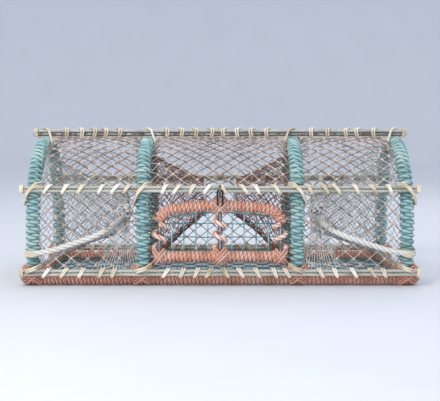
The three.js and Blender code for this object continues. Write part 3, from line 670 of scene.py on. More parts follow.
def door_bow(foot):
    """The door's bent bar, from one foot over the arch to the other."""
    left = np.linspace(math.pi, math.pi - DOOR_TURN, 16)
    top = np.linspace(math.pi - DOOR_TURN, DOOR_TURN, 60)
    right = np.linspace(DOOR_TURN, 0, 16)
    u = np.concatenate([[-DOOR_HALF_WIDTH], -DOOR_CORNER_X + DOOR_CORNER * np.cos(left),
                        DOOR_ARCH_RADIUS * np.cos(top), DOOR_CORNER_X + DOOR_CORNER * np.cos(right),
                        [DOOR_HALF_WIDTH]])
    v = np.concatenate([[foot], DOOR_CORNER_HEIGHT + DOOR_CORNER * np.sin(left),
                        DOOR_ARCH_CENTRE + DOOR_ARCH_RADIUS * np.sin(top),
                        DOOR_CORNER_HEIGHT + DOOR_CORNER * np.sin(right), [foot]])
    keep = np.concatenate([[True], np.hypot(np.diff(u), np.diff(v)) > 1e-6])
    return door_place(u[keep], v[keep])


def knot_loop(size):
    """The closed line of one small knot, with its own normals."""
    t = circle(14)
    line = np.stack([0.75 * (np.sin(t) + 2 * np.sin(2 * t)) / 3, 0.55 * np.sin(3 * t),
                     1.1 * (np.cos(t) - 2 * np.cos(2 * t)) / 3], 1) * size
    return line, carried(line, True)


def tie_knots(weave, centres, sideways, outward, upward, size, twine, tint):
    line, normals = knot_loop(size)
    basis = np.stack([sideways, outward, upward], 1)
    paths = centres[:, None] + np.einsum("sk,nkj->nsj", line, basis)
    ways = np.einsum("sk,nkj->nsj", normals, basis)
    weave.tubes(paths, ways, twine, 5, tint=tint, closed=True)


# Operators: the stage and the cords come first


def point_at(item, target):
    item.rotation_euler = (target - item.location).to_track_quat("-Z", "Y").to_euler()


class POT_OT_stage(bpy.types.Operator):
    """Make the camera, the soft lights and the pale floor"""
    bl_idname = "pot.stage"
    bl_label = "Stage"

    def execute(self, context):
        scene = context.scene
        low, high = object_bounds()
        target = Vector((0, 0, (low.z + high.z) / 2))
        # the pot fills this share of the picture's width, seen from a little above
        filled, rise = 0.925, math.radians(5)
        camera = bpy.data.objects.new("camera", bpy.data.cameras.new("camera"))
        camera.data.lens = lens = 82.0
        camera.data.sensor_width = sensor = 36.0
        away = (high.x - low.x) / filled * lens / sensor - low.y
        camera.location = target + Vector((0, -math.cos(rise), math.sin(rise))) * away
        point_at(camera, target)
        scene.collection.objects.link(camera)
        scene.camera = camera
        for name, place, size, power, tone in (
            ("key_light", (-1.5, -2.4, 2.3), 1.1, 52, "#FFF6EA"),
            ("fill_light", (2.6, -2.2, 1.5), 1.8, 10, "#E9F1FF"),
            ("back_light", (0.8, 2.0, 2.4), 1.6, 16, "#FFFFFF"),
            ("low_light", (-0.4, -4.6, 0.75), 1.0, 60, "#FFFFFF"),
        ):
            light = bpy.data.objects.new(name, bpy.data.lights.new(name, "AREA"))
            light.data.size = size
            light.data.energy = power
            light.data.color = hex_linear(tone)
            light.location = place
            point_at(light, target)
            light.visible_camera = False
            scene.collection.objects.link(light)
        world = bpy.data.worlds.new("studio")
        world.use_nodes = True
        sky = world.node_tree.nodes["Background"]
        sky.inputs["Color"].default_value = (*colours().sky, 1)
        sky.inputs["Strength"].default_value = 1.2
        scene.world = world
        scene.view_settings.view_transform = "Standard"
        self.make_backdrop()
        return {"FINISHED"}

    def make_backdrop(self):
        """A round floor that curves up into a low wall on every side."""
        cove, wall, top, sides = 2.0, 8.0, 4.0, 72
        bend = np.linspace(0, math.pi / 2, 10)
        flat = np.linspace(0.5, wall - cove, 6)[:-1]
        radius = np.concatenate([flat, wall - cove + cove * np.sin(bend), [wall]])
        height = np.concatenate([np.zeros_like(flat), cove - cove * np.cos(bend), [top]])
        around = np.arange(sides) / sides * FULL
        points = [(r * math.cos(a), r * math.sin(a), h) for r, h in zip(radius, height) for a in around]
        points.append((0, 0, 0))
        faces = [(k + sides + a, k + sides + (a + 1) % sides, k + (a + 1) % sides, k + a)
                 for k in range(0, (len(radius) - 1) * sides, sides) for a in range(sides)]
        faces += [(a, (a + 1) % sides, len(points) - 1) for a in range(sides)]
        mesh = bpy.data.meshes.new("backdrop")
        mesh.from_pydata(points, [], faces)
        mesh.shade_smooth()
        mesh.materials.append(finish_of("painted_board"))
        floor = bpy.data.objects.new("backdrop", mesh)
        bpy.context.scene.collection.objects.link(floor)
        floor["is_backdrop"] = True


class POT_OT_white_ropes(bpy.types.Operator):
    """Run a laid white rope from each gathered bunch to the foot of the end bow, and seize it there"""
    bl_idname = "pot.white_ropes"
    bl_label = "White ropes"

    # shares of the way from the bunch to the bow, in x, y and z
    shares = ((0, 0, 0), (0.035, 0.36, 0.128), (0.093, 0.696, 0.234), (0.178, 0.932, 0.34),
              (0.287, 1.037, 0.468), (0.45, 1.037, 0.617), (0.736, 1.012, 0.872), (1, 1, 1))

    def execute(self, context):
        radius = sizes().white_rope / 2
        for name, side in SIDES:
            start = np.array([side * 285, -99.9, 184]) * MM
            end = np.array([side * 543, -260.8, 90]) * MM
            route = start + np.array(self.shares) * (end - start)
            path = spline(route, 90)
            weave = Weave()
            weave.tubes(path, carried(path), radius, 18, lay=radius * LAY, depth=0.34, tint=0.5)
            piece = weave.build(f"{name}_laid_white_rope", "pot", "white_rope", "white_laid_rope",
                                f"{name}_white_rope")
            self.seize(name, side, path, radius)
        return {"FINISHED"}

    def seize(self, name, side, path, radius):
        """Five turns of twine hold the rope's end against the bow."""
        weave = Weave()
        twine = 1.8 * MM
        at = path[np.argmin(np.abs(path[:, 0] - side * END_BOW_X))]
        rope_out = -at[1] - BOW_RADIUS
        points, ways = hull_loop([(0, 0, SERVING), (0, rope_out, radius)], twine, 48)
        for turn in range(5):
            lift = at[2] + (turn - 2) * 3.6 * MM + np.linspace(0, 3.0, 48) * MM
            line = np.stack([side * END_BOW_X + points[:, 0], -BOW_RADIUS - points[:, 1], lift], 1)
            normal = np.stack([ways[:, 0], -ways[:, 1], np.zeros(48)], 1)
            weave.tubes(line, normal, twine, 6, tint=0.6)
        weave.build(f"{name}_rope_seizing", "pot", *CREAM_TWINE)


class POT_OT_stretch_line(bpy.types.Operator):
    """Run the orange line between the entrance rings, over the lower edges of the parlour rings"""
    bl_idname = "pot.stretch_line"
    bl_label = "Stretch line"

    def execute(self, context):
        radius = sizes().line / 2
        ring, droop = FUNNELS["entrance"], math.radians(-25)
        end = (-ring["radius"] * math.cos(droop), ring["height"] + ring["radius"] * math.sin(droop))
        tied, rest, inner = 0.2797, 183.8 * MM, FUNNELS["parlour"]["ring"]
        path = evened([(-tied, *end), (-inner, 0, rest), (inner, 0, rest), (tied, *end)], 90)
        weave = Weave()
        weave.tubes(path, carried(path), radius, 12, lay=radius * LAY, depth=0.3, tint=0.5)
        piece = weave.build("orange_stretch_line", "pot", "orange_line", "orange_line", "stretch_line")
        return {"FINISHED"}


# The wound frame


class POT_OT_bows(bpy.types.Operator):
    """Wind the four bows with turquoise rope"""
    bl_idname = "pot.bows"
    bl_label = "Bows"

    def execute(self, context):
        s = sizes()
        rope = s.bow_rope / 2
        for number, x in enumerate(BOW_X, 1):
            place, total = along(bow_line(x, 2 * BAR_RADIUS + rope * 0.8), (1, 0, 0))
            weave = Weave()
            wound(weave, place, total, SERVING - rope, rope, s.bow_pitch, number * 11, depth=0.3, steps=20,
                  sides=15, tint=0.42, uneven=0.16)
            weave.build(f"bow_{number}_winding", "pot", "turquoise_rope", "turquoise_polypropylene_rope",
                        f"bow_{number}")
        return {"FINISHED"}


class POT_OT_base(bpy.types.Operator):
    """Wind the four base bars with orange rope and lash the bows' feet to them"""
    bl_idname = "pot.base"
    bl_label = "Base frame"

    def execute(self, context):
        for name in ("front", "rear", "left", "right"):
            low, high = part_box(f"base_{name}_serving")
            centre = (low + high) / 2
            if name in ("front", "rear"):
                ends = [(low.x, centre.y, centre.z), (high.x, centre.y, centre.z)]
                sideways = (0, 1, 0)
            else:
                ends = [(centre.x, low.y, centre.z), (centre.x, high.y, centre.z)]
                sideways = (1, 0, 0)
            weave = Weave()
            wind_bar(weave, evened(ends, 40), sideways, BAR_RADIUS, len(name) * 7, 0.4, floor=TOUCH_GAP)
            weave.build(f"base_{name}_winding", "pot", *ORANGE, f"base_{name}_serving")
        self.lash_feet()
        return {"FINISHED"}

    def lash_feet(self):
        """Crossed turns over each foot, pulled flat where they pass under the bar."""
        rope, ground = 4.6 * MM, 0.4 * MM
        apart, wide, middle_height = rope * 1.35, SERVING + rope * 1.1, 31 * MM
        t = circle(40)
        for number, x in enumerate(BOW_X, 1):
            weave = Weave()
            for side, lean, strand in product((-1, 1), (-1, 1), (-1, 0, 1)):
                along_bar = np.cos(t) * wide + lean * strand * apart
                out = side * np.sin(t) * (SERVING + rope * (1.0 + 0.35 * (lean > 0)))
                rise = lean * np.cos(t) * 21 * MM - strand * apart + middle_height
                line = np.stack([x + along_bar, side * BOW_RADIUS + out, rise], 1)
                weave.tubes(line, carried(line, True), rope, 10, lay=rope * LAY, depth=0.28,
                            tint=0.35 + 0.12 * strand, closed=True, floor=ground)
            weave.build(f"bow_{number}_foot_lashings", "pot", *ORANGE)


class POT_OT_rods(bpy.types.Operator):
    """Finish the steel rods and lay the doubled head ropes on them, with their loops and whippings"""
    bl_idname = "pot.rods"
    bl_label = "Rods and head ropes"

    def execute(self, context):
        for number, name in enumerate(RODS):
            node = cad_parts[f"{name}_rod"]
            node.data.materials.clear()
            node.data.materials.append(finish_of("galvanised_steel"))
            self.lay_ropes(name, number)
            self.tie_loops(name, number)
        return {"FINISHED"}

    def lay_ropes(self, name, number):
        outward = rod_ways(name)[1]
        weave = Weave()
        half = reach(f"{name}_head_ropes").x - 4 * MM
        x = np.linspace(-half, half, 260)
        for k, spread in enumerate((-1, 1)):
            seed = number * 10 + k
            rise = spread * (HEAD_ROPE["spread"] + 0.9 * MM * wander(x, seed, 0.12))
            out = HEAD_ROPE["out"] + 0.5 * MM * wander(x, seed + 5, 0.09)
            shade = np.clip(0.5 + 0.4 * wander(x, seed + 7, 0.12), 0, 1)
            weave.tubes(by_rod(name, x, rise, out), outward, HEAD_ROPE["radius"], 12,
                        lay=HEAD_ROPE["radius"] * LAY, depth=0.3, tint=shade[None])
        weave.build(f"{name}_laid_head_ropes", "pot", "cream_rope", "cream_head_rope", f"{name}_head_ropes")

    def loop(self, weave, name, x, slope, twine, shade):
        """One turn round rod and ropes, slanting across them."""
        _, outward, rising = rod_ways(name)
        circles = [(0, 0, ROD_RADIUS)]
        circles += [(side * HEAD_ROPE["spread"], HEAD_ROPE["out"], HEAD_ROPE["radius"]) for side in (-1, 1)]
        points, ways = (values[:-1] for values in hull_loop(circles, twine, 37))
        line = by_rod(name, x + slope * points[:, 0], points[:, 0], points[:, 1])
        normal = ways[:, :1] * rising + ways[:, 1:] * outward
        weave.tubes(line, normal, twine, 8, tint=shade, closed=True)

    def tie_loops(self, name, number):
        """Doubled loops along the ropes, long ones over the bows, whippings at the ends, a twine behind."""
        pitch, twine = sizes().loop_pitch, sizes().loop_twine / 2
        looped, whipped, clear_of_bow = 0.545, 0.5536, 27 * MM
        maker = np.random.default_rng(number + 40)
        weave = Weave()
        for k in range(int(2 * looped / pitch)):
            x = -looped + (k + 0.5) * pitch + maker.uniform(-11, 11) * MM
            slope = math.copysign(maker.uniform(0.38, 0.78), -x)
            if min(abs(x - b) for b in BOW_X) < clear_of_bow:
                continue
            shade = maker.uniform(0.35, 0.95)
            for offset in (-0.5, 0.5):
                self.loop(weave, name, x + offset * twine * 2.1, slope + offset * 0.12, twine,
                          shade + offset * 0.1)
        for x in BOW_X:
            self.bow_loop(weave, name, x, twine * 1.2, maker.uniform(0.35, 0.6))
        for side, turn in product((-1, 1), range(4)):
            self.loop(weave, name, side * (whipped + 0.0028 * turn), 0.0, 1.5 * MM, 0.6)
        behind = by_rod(name, np.linspace(-0.55, 0.55, 40), 0, -(ROD_RADIUS + twine))
        weave.tubes(behind, rod_ways(name)[1], twine * 0.8, 6, tint=0.4)
        weave.build(f"{name}_rod_lashings", "pot", *CREAM_TWINE)

    def bow_loop(self, weave, name, x, twine, shade):
        """A long loop across the bow, from over the ropes to behind the winding."""
        outward = rod_ways(name)[1]
        nose = 12 * MM
        front = HEAD_ROPE["out"] + HEAD_ROPE["radius"] - nose
        circles = [(0, BOW_RADIUS - ROD_LINE, SERVING), (0, front, nose)]
        points, ways = (values[:-1] for values in hull_loop(circles, twine, 61))
        slope, lift = (0.35, 9 * MM) if name.endswith("base") else (1.1, 0.0)
        slope *= math.copysign(1, -x)
        for offset in (-1, 1):
            rise = points[:, 0] * slope + lift + offset * twine * (1.2 if slope > 1 else 1.02)
            line = by_rod(name, x + points[:, 0], rise, points[:, 1])
            normal = ways[:, :1] * [1, 0, 0] + ways[:, 1:] * outward
            weave.tubes(line, normal, twine, 8, tint=shade, closed=True)


# Netting


def diamond_net(weave, side, from_x, to_x, from_run, to_run, columns, rows, seed):
    """Knotted diamond netting on the pot's surface, drawn in to the bows at both sides."""
    twine = sizes().net_twine / 2
    maker = np.random.default_rng(seed)
    c, r = np.meshgrid(np.arange(2 * columns + 1), np.arange(2 * rows + 1), indexing="ij")
    jitter = maker.uniform(-1, 1, (2,) + c.shape) * 1.7 * MM
    inside_x = (c > 0) & (c < 2 * columns)
    inside_r = (r > 0) & (r < 2 * rows)
    skew = 2.5 * MM * np.sin(r / (2 * rows) * math.pi) * inside_x
    x = from_x + (to_x - from_x) * c / (2 * columns) + jitter[0] * inside_x + skew
    run = from_run + (to_run - from_run) * r / (2 * rows) + jitter[1] * inside_r

    def drawn_in(at):
        near = np.minimum(at - from_x, to_x - at)
        # near a bow the net is drawn in towards it, by 19 mm at the edge
        return -19 * MM * np.clip(1 - near / (34 * MM), 0, 1) ** 2

    starts, ends = [], []
    for step in (1, -1):
        here = ((c + r) % 2 == 0) & (r < 2 * rows) & (c + step >= 0) & (c + step <= 2 * columns)
        ci, ri = c[here], r[here]
        starts.append((x[ci, ri], run[ci, ri]))
        ends.append((x[ci + step, ri + 1], run[ci + step, ri + 1]))
    a = np.concatenate([np.stack(p, 1) for p in starts])
    b = np.concatenate([np.stack(p, 1) for p in ends])
    share = np.linspace(0, 1, 5)[None, :, None]
    flat = a[:, None] * (1 - share) + b[:, None] * share
    bow = np.sin(share[..., 0] * math.pi)
    slack = maker.uniform(-1, 1, (3, len(a), 1)) * np.array([0.7, 0.7, 0.9])[:, None, None] * MM * bow
    at_x = flat[..., 0] + slack[0]
    points, ways = net_surface(side, at_x, flat[..., 1] + slack[1], drawn_in(flat[..., 0]) + slack[2])
    shade = np.clip(maker.uniform(0.15, 0.6, (len(a), 1)) + np.array([0.35, 0.06, 0, 0.06, 0.35]), 0, 1)
    weave.tubes(points, ways, twine, 6, tint=shade)
    here = ((c + r) % 2 == 0) & inside_x & inside_r
    centres, outward = net_surface(side, x[here], run[here], drawn_in(x[here]))
    sideways = np.broadcast_to([1.0, 0, 0], centres.shape)
    tie_knots(weave, centres, sideways, outward, np.cross(sideways, outward) * side * -1, 3.6 * MM, 1.35 * MM,
              maker.uniform(0.75, 1.0, len(centres)))


class POT_OT_netting(bpy.types.Operator):
    """Knot the diamond netting of the three bays, front and rear"""
    bl_idname = "pot.netting"
    bl_label = "Netting"

    def execute(self, context):
        mesh = sizes().net_mesh
        bays = zip(("left", "middle", "right"), BOW_X, BOW_X[1:])
        side_run, top_run = run_at(SIDE_ANGLE), run_at(math.pi / 2)
        for bay, (name, start, end) in enumerate(bays):
            for face, side in (("front", -1), ("rear", 1)):
                from_x, to_x = start + 20 * MM, end - 20 * MM
                columns = round((to_x - from_x) / mesh)
                weave = Weave()
                replaced = [f"{name}_{face}_roof_net_low", f"{name}_{face}_roof_net_high"]
                diamond_net(weave, side, from_x, to_x, side_run, top_run, columns, 8, bay * 10 + side + 5)
                if not (name == "middle" and face == "front"):
                    diamond_net(weave, side, from_x, to_x, 0, side_run, columns, 6, bay * 10 + side + 50)
                    replaced.append(f"{name}_{face}_net")
                weave.build(f"{name}_{face}_netting", "pot", "net_twine", "tan_net_twine", *replaced)
        return {"FINISHED"}


# Each inner net runs from its mouth against a bow to an eye that a ring holds open
FUNNELS = {
    "entrance": {"mouth": END_BOW_X, "eye": 0.2903, "bottom": 36.3 * MM, "height": 184 * MM, "radius": 58 * MM,
                 "ring": 0.285, "tube": 5 * MM, "around": 54, "rows": 17, "thick": 1.0, "slack": 1.6 * MM,
                 "seed": 3, "finish": ("white_net", "pale_fine_net")},
    "parlour": {"mouth": INNER_BOW_X, "eye": 0.0493, "bottom": 14.05 * MM, "height": 230 * MM,
                "radius": 54 * MM, "ring": 0.045, "tube": 4 * MM, "around": 46, "rows": 12, "thick": 1.15,
                "slack": 2.4 * MM, "seed": 7, "finish": ("brown_net", "brown_fine_net")},
}


def arch_mouth(bottom, share):
    """Points round the inside of a bow, from the middle of the floor, by share of the way round."""
    radius = BOW_RADIUS - SERVING - TOUCH_GAP
    angle = np.linspace(0, math.pi, 80)
    y = np.concatenate([[0], radius * np.cos(angle), [-radius, 0]])
    z = np.concatenate([[bottom], LEG_HEIGHT + radius * np.sin(angle), [bottom, bottom]])
    y = np.insert(y, 1, radius)
    z = np.insert(z, 1, bottom)
    run = np.concatenate([[0], np.cumsum(np.hypot(np.diff(y), np.diff(z)))])
    at = (share % 1.0) * run[-1]
    return np.interp(at, run, y), np.interp(at, run, z)


def funnel_point(funnel, side, share, depth):
    """A point of a funnel net, by share of the way round and share of the way in."""
    y0, z0 = arch_mouth(funnel["bottom"], share)
    angle = share * FULL - math.pi / 2
    y1 = funnel["radius"] * np.cos(angle)
    z1 = funnel["height"] + funnel["radius"] * np.sin(angle)
    pull = np.interp(depth, [0, 0.3, 0.64, 1], [0, 0.36, 0.7, 1])
    x = side * (funnel["mouth"] + (funnel["eye"] - funnel["mouth"]) * depth)
    return np.stack([x, y0 + (y1 - y0) * pull, z0 + (z1 - z0) * pull], -1)


def funnel_net(weave, funnel, side, twine):
    """Diamond net drawn in from a mouth to an eye, a little uneven except at both ends."""
    maker = np.random.default_rng(funnel["seed"] + side)
    around, rows, slack = 2 * funnel["around"], 2 * funnel["rows"], funnel["slack"]
    c, r = np.meshgrid(np.arange(around), np.arange(rows + 1), indexing="ij")
    inside = (r > 0) & (r < rows)
    share = c / around + maker.uniform(-1, 1, c.shape) * 0.0022
    depth = r / rows + maker.uniform(-1, 1, c.shape) * 0.006 * inside
    points = funnel_point(funnel, side, share, np.clip(depth, 0, 1))
    points += maker.uniform(-1, 1, points.shape) * slack * inside[..., None]
    here = ((c + r) % 2 == 0) & (r < rows)
    ci, ri = c[here], r[here]
    a = np.concatenate([points[ci, ri]] * 2)
    b = np.concatenate([points[(ci + k) % around, ri + 1] for k in (1, -1)])
    middle_point = (a + b) / 2 + maker.uniform(-1, 1, a.shape) * slack * 0.7
    paths = np.stack([a, middle_point, b], 1)
    centre = np.stack([paths[..., 0], 0 * paths[..., 1], 0 * paths[..., 2] + funnel["height"]], -1)
    weave.tubes(paths, paths - centre, twine, 4, tint=maker.uniform(0.15, 0.85, len(a)))


class POT_OT_funnels(bpy.types.Operator):
    """Knit the fine entrance and parlour nets and wind their rings"""
    bl_idname = "pot.funnels"
    bl_label = "Funnel nets and rings"

    def execute(self, context):
        twine = sizes().fine_twine / 2
        for name, side in SIDES:
            for kind, funnel in FUNNELS.items():
                weave = Weave()
                funnel_net(weave, funnel, side, twine * funnel["thick"])
                weave.build(f"{name}_{kind}_fine_net", "pot", *funnel["finish"], f"{name}_{kind}_net")
            for kind, funnel in FUNNELS.items():
                self.wind_ring(f"{name}_{kind}_ring", side * funnel["ring"], funnel["height"],
                               funnel["radius"], funnel["tube"])
        return {"FINISHED"}

    def wind_ring(self, node, x, z, radius, tube):
        """A plastic ring wound all round with the twine that holds the net to it."""
        twine = 1.25 * MM
        core = tube - twine * 2
        turns = int(FULL * radius / (twine * 2.1))
        phase = np.linspace(0, turns * FULL, turns * 9 + 1)[:-1]
        about = phase / turns
        radial = np.stack([np.zeros_like(about), np.cos(about), np.sin(about)], 1)
        way = np.cos(phase)[:, None] * radial + np.sin(phase)[:, None] * [1.0, 0, 0]
        path = np.array([x, 0, z]) + radial * radius + way * (core + twine)
        weave = Weave()
        weave.tubes(path, way, twine, 5, tint=0.75 + 0.25 * wander(about, 3, 1.0)[None], closed=True)
        about = circle(48)
        radial = np.stack([np.zeros_like(about), np.cos(about), np.sin(about)], 1)
        weave.tubes(np.array([x, 0, z]) + radial * radius, radial, core + 0.3 * MM, 10, tint=0.3, closed=True)
        weave.build(f"{node}_winding", "pot", "white_rope", "pale_fine_net", node)


class POT_OT_bunches(bpy.types.Operator):
    """Gather the loose net beside each entrance ring, with strands down to the base rod"""
    bl_idname = "pot.bunches"
    bl_label = "Gathered bunches"

    def execute(self, context):
        for name, side in SIDES:
            self.gather(name, side)
            self.let_down(name, side)
        return {"FINISHED"}

    def gather(self, name, side):
        low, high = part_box(f"{name}_bunch")
        centre, half = np.array((low + high) / 2), np.array((high - low) / 2)
        centre += np.array([side * -1, -17, 12]) * MM
        half *= (1.5, 1.9, 1.4)
        maker = np.random.default_rng(21 + side)
        t = circle(32)
        weave = Weave()
        for k in range(120):
            aim = maker.normal(size=3)
            aim /= np.linalg.norm(aim)
            other = np.cross(aim, maker.normal(size=3))
            other /= np.linalg.norm(other)
            third = np.cross(aim, other)
            size = maker.uniform(0.4, 0.66)
            spread = maker.uniform(0.12, 0.36)
            line = (aim * (size * (0.72 - 0.5 * np.cos(t)))[:, None]
                    + other * (spread * np.sin(t))[:, None]
                    + third * (0.12 * np.sin(2 * t + k))[:, None]
                    + 0.05 * np.stack([wander(t, k * 3 + j, 2.0) for j in range(3)], 1))
            line = centre + line * half
            # every third strand is thick and pale, so that the bunch still reads as strands from far off; the
            # thin ones run down to near black, as painted shade in the gaps between them
            thick = k % 3 == 0
            twine, shade = (2.3 * MM, maker.uniform(0.8, 1.0)) if thick else (1.1 * MM, maker.uniform(0.1, 0.8))
            weave.tubes(line, carried(line, True), twine, 6, tint=shade, closed=True)
        # a near-black line wound round inside the bunch: painted shade at its core
        painted_shade_core = fibonacci_ball(centre, half * 0.5, 24)
        weave.tubes(painted_shade_core, carried(painted_shade_core), 4 * MM, 8, tint=0.0)
        weave.build(f"{name}_gathered_net", "pot", "white_net", "gathered_fine_net", f"{name}_bunch")

    def let_down(self, name, side):
        """Strands of the gathered net, fanning down behind the netting to the base rod."""
        maker = np.random.default_rng(31 + side)
        weave = Weave()
        top = np.array([side * 285, -88, 172]) * MM
        for k in range(15):
            spread = (k - 7) / 7
            start = top + np.array([spread * 7, maker.uniform(-5, 5), abs(spread) * 4]) * MM
            foot = np.array([side * 285 + spread * 62, -245.0, 44 + maker.uniform(0, 10)]) * MM
            share = np.linspace(0, 1, 18)[:, None]
            line = start + (foot - start) * share
            line[:, 2] -= (np.sin(share * math.pi) * maker.uniform(2, 16) * MM)[:, 0]
            line[:, 0] += 1.2 * MM * wander(share[:, 0], 60 + k, 0.6)
            weave.tubes(line, carried(line), 1.1 * MM, 5, tint=maker.uniform(0.4, 1.0))
        weave.build(f"{name}_net_strands", "pot", "white_net", "gathered_fine_net")
        weave = Weave()
        line = spline([np.array([side * 296, -92, 170]) * MM, np.array([side * 318, -168, 112]) * MM,
                       np.array([side * 340, -243, 46]) * MM], 24)
        weave.tubes(line, carried(line), 1.4 * MM, 6, tint=0.8)
        weave.build(f"{name}_green_tie", "pot", "teal_mesh", "coated_mesh_wire")


def fibonacci_ball(centre, half, count):
    """A line wound from pole to pole of a ball."""
    share = np.linspace(0.02, 0.98, count * 4)
    polar = np.arccos(1 - 2 * share)
    around = share * FULL * 5
    way = np.stack([np.sin(polar) * np.cos(around), np.sin(polar) * np.sin(around), np.cos(polar)], 1)
    return centre + way * half


# Square mesh


class POT_OT_floor_mesh(bpy.types.Operator):
    """Weave the coated wire mesh of the floor"""
    bl_idname = "pot.floor_mesh"
    bl_label = "Floor mesh"

    def execute(self, context):
        s = sizes()
        low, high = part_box("floor_mesh")
        wire = s.mesh_wire / 2
        weave = Weave()
        columns = round((high.x - low.x) / s.square_mesh)
        rows = round((high.y - low.y) / s.square_mesh)
        xs = np.linspace(low.x + wire, high.x - wire, columns + 1)
        ys = np.linspace(low.y + wire, high.y - wire, rows + 1)
        maker = np.random.default_rng(5)
        y = np.linspace(ys[0], ys[-1], rows * 4 + 1)
        paths = np.stack([np.stack([np.full_like(y, x), y, np.full_like(y, FLOOR_HEIGHT)], 1) for x in xs])
        paths[:, :, 0] += maker.uniform(-1, 1, (len(xs), 1)) * 1.2 * MM
        weave.tubes(paths, (0, 0, 1), wire, 8, tint=maker.uniform(0.6, 1.0, len(xs)))
        x = np.linspace(xs[0], xs[-1], columns * 6 + 1)
        over = np.cos(np.arange(len(x)) / 6 * math.pi)
        paths = np.stack([np.stack([x, np.full_like(x, b), FLOOR_HEIGHT + over * (-1) ** k * 2.6 * MM], 1)
                          for k, b in enumerate(ys)])
        weave.tubes(paths, (0, 0, 1), wire * 0.85, 8, tint=maker.uniform(0.2, 0.7, len(ys)))
        weave.build("floor_wire_mesh", "pot", "teal_mesh", "coated_mesh_wire", "floor_mesh")
        return {"FINISHED"}


# The door


